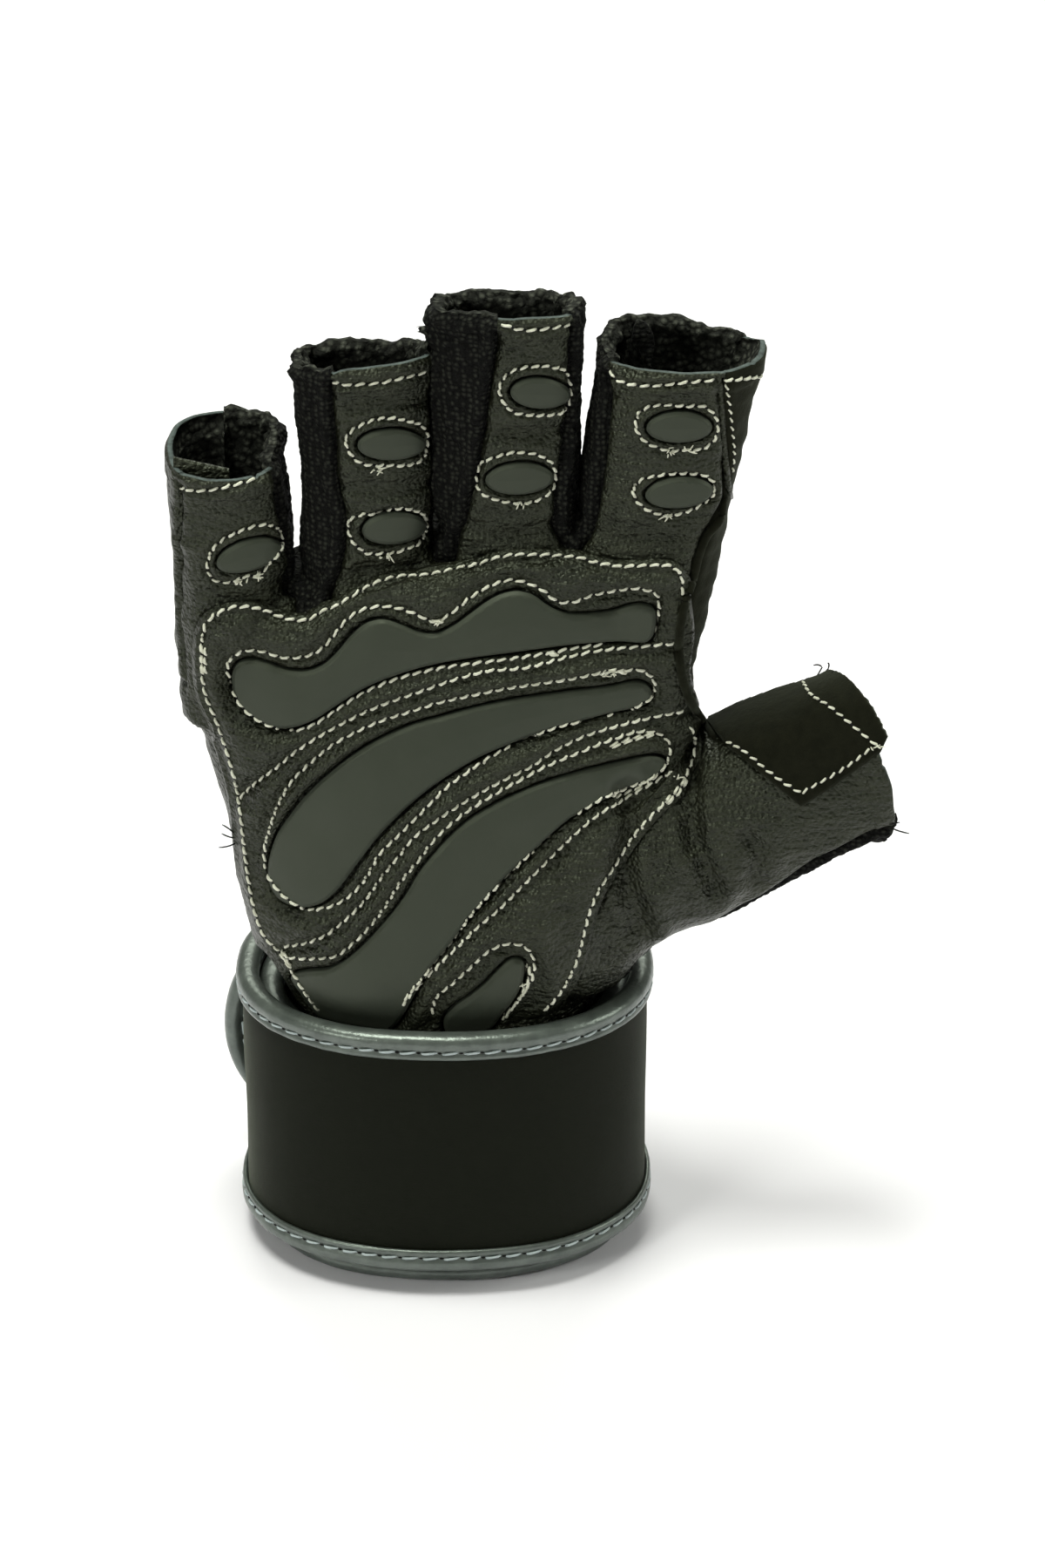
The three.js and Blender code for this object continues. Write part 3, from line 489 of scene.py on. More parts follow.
def fingers_together(points):
    """Brings the sides of neighbouring fingers together again above their crotches."""
    for left, right in zip(limbs, limbs[1:]):
        off = points[:, 0] - between(left, right, points[:, 2])
        gap = OTHER_GAP
        if left is limbs[0]:
            height, little, other = zip(*LITTLE_GAP)
            gap = np.where(off < 0, np.interp(points[:, 2], height, little),
                           np.interp(points[:, 2], height, other))
        near = steps(right.crotch + 1, right.crotch + 7, points[:, 2]) * (np.abs(off) < 11)
        points[:, 0] -= np.sign(off) * near * (FINGER_SPLIT - gap) * bell(off, 4.5)


# Folds that the worn leather keeps, drawn on the photograph, with depth and half width in mm.
FOLDS = [
    ([(716, 905), (722, 940), (716, 985), (722, 1030), (735, 1060)], 2.3, 2.6),
    ([(790, 855), (793, 900), (796, 945), (805, 985), (820, 1022)], 2.2, 2.0),
    ([(770, 900), (782, 945), (790, 975)], 1.0, 1.8),
    ([(740, 880), (752, 930), (756, 980), (752, 1010)], 0.7, 2.0),
    ([(868, 1008), (872, 985), (862, 962)], 1.2, 1.9),
    ([(690, 1046), (712, 1066), (742, 1078)], 1.1, 2.0),
    ([(735, 1105), (770, 1098), (805, 1085)], 0.7, 2.2),
    ([(640, 985), (636, 1020), (648, 1052), (644, 1090)], 0.9, 3.0),
    ([(694, 612), (716, 620), (742, 618), (778, 622)], 0.9, 1.5),
    ([(700, 600), (724, 606), (760, 600), (800, 590)], 0.7, 1.4),
    ([(540, 604), (570, 612), (610, 610), (634, 602)], 0.8, 1.4),
    ([(548, 492), (580, 498), (620, 498), (646, 490)], 0.7, 1.4),
    ([(392, 556), (424, 560), (460, 560), (492, 552)], 0.7, 1.4),
    ([(396, 466), (430, 462), (462, 464), (492, 456)], 0.6, 1.4),
    ([(400, 664), (430, 655), (470, 652)], 0.8, 1.6),
    ([(255, 850), (268, 880), (290, 905)], 0.7, 2.6),
    ([(214, 690), (232, 676), (262, 672)], 0.6, 2.2),
    ([(208, 640), (206, 700), (212, 760), (222, 820)], 0.7, 1.6),
]


def worn(points):
    """The hand's own relief: slow unevenness everywhere and the folds on the side that shows."""
    relief = 0.55 * lumps(points, 17) + 0.22 * lumps(points, 6, 3)
    facing = steps(0.05, 0.4, points[:, 3:6] @ towards_camera)
    places = pixels_of(points)
    for line, depth, width in FOLDS:
        gap = line_distance(curve(line, 6), places) / PIXELS_PER_MM
        relief -= facing * depth * (bell(gap, width) - 0.35 * bell(gap - 1.7 * width, width))
    return relief


above_wrist = cut(skin, lambda points: points[:, 2] - WRIST_FOOT)[0]
relief = worn(above_wrist[0])[:, None] * steps(WRIST_FOOT + 14, HEEL + 14, above_wrist[0][:, 2:3])
above_wrist[0][:, :3] += relief * above_wrist[0][:, 3:6]
fingers_together(above_wrist[0])
hand = cut(above_wrist, lambda points: rim_height(points) - 3)[1]
hand_surface = BVHTree.FromPolygons(hand[0][:, :3].tolist(), hand[1].tolist())


# Finishes: every material is a colour that varies in patches, a roughness that varies with it, and
# a relief of grain, weave or nap in several sizes. Some also have a highlight painted lighter on the
# relief's crests.
def finish(name, tones, patch, roughness, relief, painted_crest_highlight=0.0, **sockets):
    """tones are the darkest and lightest colour, patch the size of the patches in mm, roughness its
    lowest and highest value, relief rows of (texture, size in mm, height in mm, stretch), where
    the texture is noise, pebbles or weave, and the argument after relief the share of the colour's
    change that follows the crests of the first row, which are painted lighter as a highlight."""
    made = bpy.data.materials.new(name)
    made.use_nodes = True
    nodes, link = made.node_tree.nodes, made.node_tree.links.new
    shader = nodes["Principled BSDF"]
    place = nodes.new("ShaderNodeTexCoord").outputs["Object"]
    spots = nodes.new("ShaderNodeTexNoise")
    spots.inputs["Scale"].default_value = 1 / (patch * MM)
    spots.inputs["Detail"].default_value = 5
    spots.inputs["Roughness"].default_value = 0.62
    link(place, spots.inputs["Vector"])
    blend = nodes.new("ShaderNodeMix")
    blend.data_type = "RGBA"
    blend.inputs["A"].default_value = (*tones[0], 1)
    blend.inputs["B"].default_value = (*tones[1], 1)
    spread = nodes.new("ShaderNodeMapRange")
    spread.inputs["From Min"].default_value = 0.3
    spread.inputs["From Max"].default_value = 0.7
    link(spots.outputs["Fac"], spread.inputs["Value"])
    share = nodes.new("ShaderNodeMix")
    share.inputs["Factor"].default_value = painted_crest_highlight
    link(spread.outputs["Result"], share.inputs["A"])
    link(share.outputs["Result"], blend.inputs["Factor"])
    link(blend.outputs["Result"], shader.inputs["Base Color"])
    rough = nodes.new("ShaderNodeMapRange")
    rough.inputs["To Min"].default_value = roughness[0]
    rough.inputs["To Max"].default_value = roughness[1]
    link(spots.outputs["Fac"], rough.inputs["Value"])
    link(rough.outputs["Result"], shader.inputs["Roughness"])
    before = None
    for texture, size, height, stretch in relief:
        scaled = nodes.new("ShaderNodeMapping")
        scaled.inputs["Scale"].default_value = [1 / (size * s * MM) for s in stretch]
        link(place, scaled.inputs["Vector"])
        if texture == "noise":
            pattern = nodes.new("ShaderNodeTexNoise")
            pattern.inputs["Detail"].default_value = 4
            pattern.inputs["Scale"].default_value = 1
            out = pattern.outputs["Fac"]
        else:
            pattern = nodes.new("ShaderNodeTexVoronoi")
            pattern.inputs["Scale"].default_value = 1
            pattern.inputs["Randomness"].default_value = 1.0 if texture == "pebbles" else 0.5
            out = pattern.outputs["Distance"]
        link(scaled.outputs["Vector"], pattern.inputs["Vector"])
        # The first row's crests are made lighter in the colour: a painted highlight on the raised
        # grain, loops or pile.
        if not before:
            crest = nodes.new("ShaderNodeMapRange")
            crest.inputs["From Min"].default_value = 0.35 if texture == "noise" else 0.5
            crest.inputs["From Max"].default_value = 0.65 if texture == "noise" else 0.12
            link(out, crest.inputs["Value"])
            link(crest.outputs["Result"], share.inputs["B"])
        bump = nodes.new("ShaderNodeBump")
        bump.invert = texture != "noise"
        bump.inputs["Distance"].default_value = height * MM
        bump.inputs["Strength"].default_value = 1
        link(out, bump.inputs["Height"])
        if before:
            link(before.outputs["Normal"], bump.inputs["Normal"])
        before = bump
    if before:
        link(before.outputs["Normal"], shader.inputs["Normal"])
    for socket, value in sockets.items():
        shader.inputs[socket.replace("_", " ")].default_value = value
    return made


EVEN = (1, 1, 1)
OLIVE = (0.92, 1, 0.78, 1)  # what the dark skins reflect is a little green
LEVEL = (2.4, 2.4, 0.8)  # creases that lie across the fingers
leather = finish(
    "grained_leather", ((0.0016, 0.0018, 0.0008), (0.0135, 0.0142, 0.0078)), 7, (0.28, 0.52),
    [("noise", 1.7, 1.3, LEVEL), ("pebbles", 0.9, 0.42, EVEN), ("noise", 0.35, 0.08, EVEN)],
    painted_crest_highlight=0.4, Specular_IOR_Level=0.42, Specular_Tint=OLIVE)
raw_edge = finish(
    "leather_raw_edge", ((0.03, 0.038, 0.036), (0.10, 0.125, 0.12)), 1.2, (0.7, 0.9),
    [("noise", 0.4, 0.12, EVEN)], Specular_IOR_Level=0.2)
suede = finish(
    "black_suede", ((0.0034, 0.0034, 0.0016), (0.0085, 0.0085, 0.0046)), 3, (0.86, 0.97),
    [("noise", 1.6, 0.16, EVEN), ("noise", 0.28, 0.10, EVEN)], painted_crest_highlight=0.3,
    Specular_IOR_Level=0.1, Specular_Tint=OLIVE, Sheen_Weight=0.08, Sheen_Roughness=0.5,
    Sheen_Tint=OLIVE)
knit = finish(
    "black_knit", ((0.0002, 0.0002, 0.0002), (0.03, 0.0315, 0.025)), 1.3, (0.7, 0.9),
    [("weave", 1.2, 1.1, (1, 1, 0.85)), ("noise", 0.4, 0.35, EVEN)], painted_crest_highlight=0.85,
    Specular_IOR_Level=0.12)
lining = finish(
    "pile_lining", ((0.0015, 0.0016, 0.0013), (0.085, 0.089, 0.073)), 1.6, (0.85, 1.0),
    [("pebbles", 1.5, 0.9, EVEN), ("noise", 0.4, 0.3, EVEN)], painted_crest_highlight=0.75,
    Specular_IOR_Level=0.15)


def add_piece(name, points, faces, finishes, nodes=(), of=None):
    """A piece of the glove as its own object. of gives the number of each face's finish."""
    mesh = bpy.data.meshes.new(name)
    mesh.from_pydata(in_metres(points).tolist(), [], [list(map(int, face)) for face in faces])
    for made in finishes:
        mesh.materials.append(made)
    if of is not None:
        mesh.polygons.foreach_set("material_index", np.asarray(of, np.int32))
    mesh.polygons.foreach_set("use_smooth", np.ones(len(faces), bool))
    piece = bpy.data.objects.new(name, mesh)
    bpy.context.scene.collection.objects.link(piece)
    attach(piece, "root")
    if nodes:
        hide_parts(*nodes)
    return piece


outer_skins = []  # what thread can be sewn to, as points and triangles


def edge_sides(faces):
    """The sides that only one triangle has, in that triangle's direction."""
    sides = np.vstack([faces[:, [0, 1]], faces[:, [1, 2]], faces[:, [2, 0]]])
    _, where, count = np.unique(np.sort(sides, axis=1), axis=0, return_inverse=True,
                                return_counts=True)
    return sides[count[where.ravel()] == 1]


def thick_piece(name, sheet, outer, inner, finishes, nodes=(), rim=None):
    """A piece with an outer and an inner face, closed round its rim. rim tells which finish each
    side of the rim has, from the middle of the side."""
    points, faces = sheet
    count = len(points)
    normal = points[:, 3:6] / np.linalg.norm(points[:, 3:6], axis=1)[:, None]
    outside = points[:, :3] + normal * np.asarray(outer)[:, None]
    within = points[:, :3] + normal * np.asarray(inner)[:, None]
    i, j = edge_sides(faces).T
    sides = np.stack([j, i, i + count, j + count], 1)
    chosen = np.full(len(sides), len(finishes) - 1) if rim is None else rim(points[i])
    of = np.r_[np.zeros(len(faces), int), np.full(len(faces), min(1, len(finishes) - 1)), chosen]
    made = faces.tolist() + (faces[:, ::-1] + count).tolist() + sides.tolist()
    outer_skins.append((outside, faces))
    return add_piece(name, np.vstack([outside, within]), made, finishes, nodes, of)


# Knitted strips between the fingers: a coarse black mesh sewn to the leather with a thick turned
# seam, so that it rolls up along the edge. They go down one finger and up the next.
KNIT_BACK = 128  # degrees round a finger where the knitted back begins
CROTCH_TUCK = 5
# where the leather's edges show on the photograph, for each finger's left (-1) and right (1) side
SEAMS = {
    ("pinky", -1): [(208, 536), (207, 600), (206, 700), (212, 760)],
    ("pinky", 1): [(313, 550), (320, 590), (330, 652), (350, 687), (370, 702)],
    ("ring", -1): [(381, 445), (384, 490), (388, 552), (397, 590), (397, 627), (390, 657),
                   (380, 680)],
    ("ring", 1): [(497, 445), (498, 477), (495, 622), (510, 635)],
    ("middle", -1): [(571, 397), (566, 429), (561, 463), (553, 514), (549, 549), (541, 571),
                     (534, 600), (523, 623)],
    ("middle", 1): [(655, 391), (655, 434), (651, 480), (646, 520), (637, 563), (636, 606),
                    (646, 623)],
    ("index", -1): [(700, 430), (700, 463), (693, 534), (684, 591), (669, 628)],
    ("index", 1): [(827, 449), (829, 480), (833, 520), (830, 571), (809, 614), (801, 634),
                   (794, 663), (784, 689), (779, 720)],
}


def seam_angles(limb, sign):
    """Distances along a finger and angles round it of a leather edge."""
    hits = [hand_surface.ray_cast(Vector(eye), sight(pixel))[0] for pixel in SEAMS[limb.name, sign]]
    found = np.array([hit for hit in hits if hit is not None])
    distance, side, forward = limb.places(found)
    angle = np.degrees(np.arctan2(sign * side, forward))
    order = [i for i in np.argsort(distance) if angle[i] < 100]
    return distance[order], angle[order]


def beside(limb, sign, points, back_angle):
    """How far a point is on one side of a finger, between the leather's edge and an angle."""
    distance, side, forward = limb.places(points)
    angle = np.degrees(np.arctan2(sign * side, forward))
    around = math.radians(1) * (limb.half_width + limb.half_depth) / 2
    front_angle = np.interp(distance, *seam_angles(limb, sign))
    return np.minimum(angle - front_angle, back_angle - angle) * around


def strip_field(left, right):
    floor = right.crotch - CROTCH_TUCK

    def field(points):
        height = points[:, 2]
        half = (limb_x(right, height) - limb_x(left, height)) / 2
        sides = []
        for limb, sign in ((left, 1), (right, -1)):
            side = sign * limb.places(points)[1]
            sides.append(np.minimum.reduce([beside(limb, sign, points, KNIT_BACK),
                                            half + 0.6 - side, side, height - floor]))
        return np.maximum(*sides)

    return field


def edge_field(limb, sign, low_up, back_angle):
    floor = HEEL + low_up * PALM_HEIGHT

    def field(points):
        side = limb.places(points)[1]
        share = np.clip((points[:, 2] - floor) / (limb.root[2] + 0.6 * limb.length - floor), 0, 1)
        back = 112 + (back_angle - 112) * share
        return np.minimum.reduce([beside(limb, sign, points, back), points[:, 2] - floor,
                                  1.8 * limb.half_width - sign * side])

    return field


LITTLE_BACK = 172  # the little finger's side is leather to the middle of its back
pinky, ring_finger, middle, index = limbs
panels = {}
rest = hand
for name, field in [
    ("fourchette_pinky_ring", strip_field(pinky, ring_finger)),
    ("fourchette_ring_middle", strip_field(ring_finger, middle)),
    ("fourchette_middle_index", strip_field(middle, index)),
    ("pinky_side_strip", edge_field(pinky, -1, 0.68, LITTLE_BACK)),
    ("index_side_strip", edge_field(index, 1, 0.66, KNIT_BACK)),
]:
    panels[name], rest = cut(rest, field)


def seam_distance(sheet):
    """A field: how far a point is from the sewn edges of a sheet."""
    points, faces = sheet
    sides = edge_sides(faces)
    ends = points[sides]
    sewn = (rim_height(ends[:, 0]) < -2.2) & (ends[:, 0, 2] > WRIST_FOOT + 0.5)
    ends = ends[sewn]
    spots = np.vstack([ends[:, 0, :3] * (1 - s) + ends[:, 1, :3] * s for s in (0, 0.25, 0.5, 0.75)])
    tree = KDTree(len(spots))
    for i, spot in enumerate(spots.tolist()):
        tree.insert(spot, i)
    tree.balance()
    return lambda places: np.array([tree.find(p)[2] for p in places[:, :3].tolist()])


def ringed(sheet, field, levels):
    """The same sheet with edges along the lines where the field has these values."""
    for level in levels:
        points, above, below = parted(sheet, field(sheet[0]) - level)
        sheet = compact(points, np.vstack([above, below]))
    return sheet


def refined(sheet, field=None):
    """The sheet with its triangles in four, or only those where the field is above 0. The next
    ones outside them are cut in two or three, so that no side is left open."""
    points, faces = sheet
    sides = np.vstack([faces[:, [0, 1]], faces[:, [1, 2]], faces[:, [2, 0]]])
    edges, where = np.unique(np.sort(sides, axis=1), axis=0, return_inverse=True)
    where = where.reshape(3, -1)
    chosen = np.ones(len(faces), bool) if field is None else field(points)[faces].max(1) > 0
    halved = np.zeros(len(edges), bool)
    halved[where[:, chosen]] = True
    middle = (np.cumsum(halved) - 1 + len(points))[where]
    split = halved[where]
    count = split.sum(0)

    def turned(some, first):
        """The corners and middles of some triangles, from their first side on."""
        order = (first + np.arange(3)[:, None]) % 3
        return (*np.take_along_axis(faces[some].T, order, 0),
                *np.take_along_axis(middle[:, some], order, 0))

    made = [faces[count == 0]]
    a, b, c, ab, bc, ca = turned(count == 3, 0)
    made += [np.stack(q, 1) for q in ((a, ab, ca), (ab, b, bc), (ca, bc, c), (ab, bc, ca))]
    two = count == 2
    a, b, c, ab, bc, ca = turned(two, split[:, two].argmin(0))
    made += [np.stack(q, 1) for q in ((a, b, bc), (a, bc, ca), (ca, bc, c))]
    one = count == 1
    a, b, c, ab, bc, ca = turned(one, split[:, one].argmax(0))
    made += [np.stack(q, 1) for q in ((a, ab, c), (ab, b, c))]
    return np.vstack([points, points[edges[halved]].mean(1)]), np.vstack(made)


SEAM_LOOPS = (0.35, 0.8, 1.4, 2.2, 3.2)
RIM_LOOPS = (-0.15, -0.4, -0.8, -1.3, -2.1, -3.2)


def knit_rim(points):
    return rim_height(points) - 0.7 + 1.0 * lumps(points, 3.6, 8) + 0.5 * lumps(points, 1.7, 14)


def loops(points, size, seed=0):
    """Rounded loops of pile from 0 to 1, packed like pebbles."""
    shift = Vector((seed * 3.7, seed * 1.9, seed * 2.3))
    near = [noise.voronoi(Vector(p) / size + shift)[0][0] for p in points[:, :3].tolist()]
    return 1 - np.minimum(np.array(near), 1) ** 2


def knit_piece(node, sheet, ridge=0.9, thickness=1.3, shown=None):
    """A knitted panel. Its mesh is finer where the field shown is above 0, or all over."""
    sheet = cut(sheet, knit_rim)[1]
    seam = seam_distance(sheet)
    sheet = ringed(refined(sheet, shown), seam, SEAM_LOOPS)
    sheet = ringed(sheet, knit_rim, RIM_LOOPS)
    points = sheet[0]
    gap, below = seam(points), -knit_rim(points)
    roll = bell(below - 1.4, 2.2)
    edge = np.sqrt(np.clip(1 - below / 1.3, 0, 1))
    crumple = lumps(points, 2.8, 5) * (0.2 + 0.7 * roll) + 0.8 * roll * lumps(points, 6, 6)
    pile = 0.55 * loops(points, 1.35, 7)
    outer = (-1.1 * bell(gap, 0.55) + ridge * bell(gap - 1.7, 1.1) + 0.6 * roll + crumple
             + pile - 0.3 - 0.8 * edge)
    wall = thickness + 1.7 * roll + 0.6 * lumps(points, 2.2, 9) * roll - 1.5 * edge
    wall += 0.7 * loops(points, 1.7, 3) * bell(below, 9)
    wall = np.where(gap < 0.3, 0.9, np.maximum(wall, 0.5))
    return thick_piece(node + "_knit", sheet, outer, outer - wall, [knit, lining], [node])


for node in ("fourchette_pinky_ring", "fourchette_ring_middle", "fourchette_middle_index"):
    knit_piece(node, panels[node])

# The thumb: soft grained leather wraps its ball and front, and the knit of the back shows below it.
# A suede patch is sewn over its upper side at the opening.
THUMB_SEAM = [(100, 66), (98, 54), (92, 46), (85, 36), (79, 24), (76, 12), (70, 2), (66, -22)]
THUMB_BEYOND = [(125, -22), (160, 0), (160, 80), (112, 82)]
THUMB_SEAM_LOW = (0.3, 0.95)  # shares of half its depth towards the front, below it at the ball
THUMB_SEAM_HIGH = -0.5  # and at its end, and above it


def on_palm(places):
    """Places in hundredths of the palm's width and height, as x and z."""
    return np.array([((a / 100 - 0.5) * PALM_WIDTH, HEEL + u / 100 * PALM_HEIGHT)
                     for a, u in places])


def inside(outline, places):
    """How far places are inside a closed outline, negative outside."""
    odd = np.zeros(len(places), bool)
    for (x, y), (u, v) in zip(outline, np.roll(outline, -1, 0)):
        if y != v:
            spans = (places[:, 1] < y) != (places[:, 1] < v)
            odd ^= spans & (places[:, 0] < x + (places[:, 1] - y) / (v - y) * (u - x))
    return np.where(odd, 1, -1) * line_distance(outline, places, closed=True)


thumb_outline = on_palm(THUMB_SEAM + THUMB_BEYOND)
thumb_shell, rest = cut(rest, lambda points: inside(thumb_outline, points[:, [0, 2]]))


def thumb_front(points):
    distance, height, ahead = thumb.places(points)
    half = THUMB_DEPTH / 2
    share = height / THUMB_WIDTH + 0.5
    low = np.interp(distance / THUMB_LENGTH, (0.3, 0.85), THUMB_SEAM_LOW)
    return ahead - half * (low + (THUMB_SEAM_HIGH - low) * share)


panels["thumb_leather"], panels["thumb_back"] = cut(thumb_shell, thumb_front)

# The side seam runs up the little finger's edge of the hand: leather in front, knit behind.
side_seam = [(-1.2, 0), (0.2, 0), (0.7, -0.03), (0.9, -0.2), (2.2, -0.32)]


def in_front(points):
    up = [HEEL + row[0] * PALM_HEIGHT for row in side_seam]
    back = [row[1] * PALM_DEPTH for row in side_seam]
    return np.interp(points[:, 2], up, back) - points[:, 1]


panels["palm_leather"], panels["back_panel"] = cut(rest, in_front)
knit_piece("thumb_back", panels["thumb_back"], ridge=0.7)
knit_piece("back_panel", panels["back_panel"], ridge=0.5,
           shown=lambda points: rim_height(points) + 12)

# Leather panels: turned in at their seams, hemmed at the openings, where the blue-grey raw edge
# shows, and pressed in along the stitches round each rubber dot.
HEMS = {
    "pinky": [(207, 560), (223, 563), (243, 562), (262, 558), (280, 554), (293, 550), (313, 541)],
    "pinky_side": [(192, 527), (200, 532), (208, 536)],
    "ring": [(382, 438), (394, 441), (416, 441), (434, 440), (456, 435), (474, 431), (489, 427)],
    "middle": [(576, 372), (588, 376), (608, 379), (628, 377), (653, 373)],
    "index": [(701, 424), (706, 434), (723, 441), (746, 443), (768, 441), (794, 438), (820, 436)],
    "index_side": [(824, 436), (840, 436), (874, 432)],
}
# each dot: centre, half length, half height and turn on the photograph
DOTS = {
    "dot_pinky": ((286, 637), 38.5, 17.5, 17),
    "dot_ring_high": ((449, 510), 38.5, 17.5, 1),
    "dot_ring_low": ((452, 606), 36.5, 18, 5),
    "dot_middle_high": ((620, 451), 34, 17.5, -3),
    "dot_middle_low": ((596, 549), 38.5, 18, 3),
    "dot_index_high": ((780, 490), 37.5, 17.5, 1),
    "dot_index_low": ((780, 565), 39, 17.5, 5),
}
DOT_RINGS = {
    "dot_pinky": [(322, 611), (316, 605), (305, 602), (292, 604), (270, 612), (255, 620), (245, 630),
                  (239, 644), (239, 656), (244, 664), (253, 668), (268, 667), (281, 662),
                  (295, 660), (305, 653), (311, 644), (319, 637), (324, 626)],
    "dot_ring_high": [(397, 506), (403, 495), (415, 488), (430, 482), (450, 480), (468, 483),
                      (483, 488), (490, 498), (490, 513), (484, 527), (470, 533), (450, 534),
                      (430, 534), (412, 530), (403, 521)],
    "dot_ring_low": [(402, 597), (415, 591), (430, 589), (445, 585), (460, 583), (475, 585),
                     (486, 590), (490, 602), (486, 615), (480, 624), (468, 629), (452, 634),
                     (437, 635), (420, 634), (409, 626), (402, 614)],
    "dot_middle_high": [(574, 446), (579, 433), (594, 424), (614, 421), (631, 421), (646, 424),
                        (652, 433), (653, 463), (645, 473), (629, 476), (611, 476), (591, 473),
                        (579, 463)],
    "dot_middle_low": [(551, 534), (566, 526), (586, 520), (606, 520), (623, 524), (634, 533),
                       (638, 546), (634, 561), (623, 571), (606, 577), (589, 577), (569, 573),
                       (553, 565), (547, 553)],
    "dot_index_high": [(731, 491), (733, 476), (746, 467), (766, 465), (789, 466), (809, 467),
                       (820, 476), (824, 489), (821, 503), (809, 514), (789, 516), (769, 517),
                       (749, 511), (737, 503)],
    "dot_index_low": [(727, 563), (737, 551), (754, 546), (774, 543), (794, 543), (811, 546),
                      (820, 554), (819, 566), (809, 577), (789, 587), (766, 591), (746, 586),
                      (731, 574)],
}
STITCH_GROOVE = 0.45
CREASED = np.array([0.3, 0.3, 1])  # creases run across the fingers and the palm


def sewn_lines(lines, closed=False, step=5):
    return [curve(line, step, closed) for line in lines]


def thread_gap(drawn, closed):
    """A field: how far a point is from lines of stitches drawn on the photograph, in mm."""
    def field(points):
        places = pixels_of(points)
        gaps = [line_distance(line, places, closed) for line in drawn]
        away = np.where(points[:, 3:6] @ towards_camera > 0.02, 0, 50)
        return np.minimum.reduce(gaps) / PIXELS_PER_MM + away
    return field


hem_gap = thread_gap(sewn_lines(HEMS.values()), False)
ring_gap = thread_gap(sewn_lines(DOT_RINGS.values(), True), True)


def leather_rim(points):
    return rim_height(points) + 0.3 * lumps(points, 4, 8)


def leather_piece(node, sheet, outside=leather, seams=0.9, sewn=(), windows=None):
    """A leather panel. sewn are the fields of the stitch lines that press it in, and windows is the
    field inside the rubber pieces, round which it is pressed in and puffed up."""
    sheet = cut(sheet, leather_rim)[1]
    seam = seam_distance(sheet)
    sheet = ringed(sheet, seam, SEAM_LOOPS[:4])
    sheet = ringed(sheet, leather_rim, (-0.3, -0.8, -3.9, -4.4))
    for gap in sewn:
        sheet = ringed(sheet, gap, (0.4, 0.9, 1.5))
    if windows:
        sheet = ringed(sheet, windows, (0.3, -0.1, -0.45, -0.9, -1.6))
    points = sheet[0]
    gap, below = seam(points), -leather_rim(points)
    hem = 0.4 * (1 - steps(3.9, 4.5, below)) - 0.45 * np.sqrt(np.clip(1 - below / 0.8, 0, 1))
    outer = -seams * bell(gap, 0.6) + 0.3 * bell(gap - 1.9, 1.3) + hem
    outer += 0.16 * lumps(points, 3.1, 21) + 0.3 * lumps(points[:, :3] * CREASED, 2.6, 31)
    for thread in sewn:
        outer -= STITCH_GROOVE * (bell(thread(points), 0.6) - 0.6 * bell(thread(points) - 1.5, 0.9))
    if windows:
        within = windows(points)
        outer += 0.4 * bell(within + 1.3, 0.8) - 1.3 * steps(-0.7, -0.05, within)
    wall = 1.9 - 0.9 * bell(below, 2.0)
    return thick_piece(node + "_panel", sheet, outer, outer - wall, [outside, lining, raw_edge],
                       [node], lambda ends: np.where(leather_rim(ends) > -0.6, 2, 1))


def oval(centre, half_length, half_height, turn, count=40):
    angle = np.arange(count) * 2 * math.pi / count
    x, y = half_length * np.cos(angle), half_height * np.sin(angle)
    c, s = math.cos(math.radians(turn)), math.sin(math.radians(turn))
    return np.stack([centre[0] + x * c - y * s, centre[1] - x * s - y * c], axis=1)


def seen_inside(outline):
    """A field for cut: millimetres inside an outline drawn on the photograph."""
    drawn = np.asarray(outline, float)
    return lambda points: inside(drawn, pixels_of(points)) / PIXELS_PER_MM


dot_fields = [seen_inside(oval(*row)) for row in DOTS.values()]


def dot_windows(points):
    seen = (points[:, 3:6] @ towards_camera > 0.02) & (points[:, 1] < -8)
    return np.maximum.reduce([field(points) for field in dot_fields]) - np.where(seen, 0, 50)


leather_piece("palm_leather", panels["palm_leather"], sewn=(hem_gap, ring_gap),
              windows=dot_windows)
leather_piece("thumb_leather", panels["thumb_leather"], seams=0.8)
leather_piece("pinky_side_strip", panels["pinky_side_strip"], seams=1.1)
leather_piece("index_side_strip", panels["index_side_strip"], suede, seams=0.7)

# Rubber dots: low oval domes of matt dark rubber, each let into the leather of a finger.
DOT_RISE = 0.9
rubber = finish(
    "matt_rubber", ((0.026, 0.030, 0.0225), (0.031, 0.0355, 0.027)), 26, (0.5, 0.58),
    [("noise", 0.22, 0.018, EVEN)], Specular_IOR_Level=0.42, Specular_Tint=OLIVE)


def relaxed(sheet, rounds):
    """The sheet with each point drawn to the mean of its neighbours. Its edges shrink a little."""
    points, faces = sheet
    a, b = np.vstack([faces[:, [0, 1]], faces[:, [1, 2]], faces[:, [2, 0]]]).T
    count = np.bincount(a, minlength=len(points)) + np.bincount(b, minlength=len(points))
    for _ in range(rounds):
        total = np.zeros_like(points)
        np.add.at(total, a, points[b])
        np.add.at(total, b, points[a])
        points = (points + total / np.maximum(count, 1)[:, None]) / 2
    return points, faces


def near_view(outline, margin, back=5):
    """The skin that shows within a margin round an outline on the photograph, in fine triangles.
    Nothing behind the plane y = back counts."""
    drawn = np.asarray(outline, float)
    points, faces = hand
    places = pixels_of(points)
    low, high = drawn.min(0) - margin, drawn.max(0) + margin
    near = ((places > low) & (places < high)).all(1) & (points[:, 3:6] @ towards_camera > 0.03)
    near &= points[:, 1] < back
    return relaxed(refined(compact(points, faces[near[faces].all(1)])), 2)


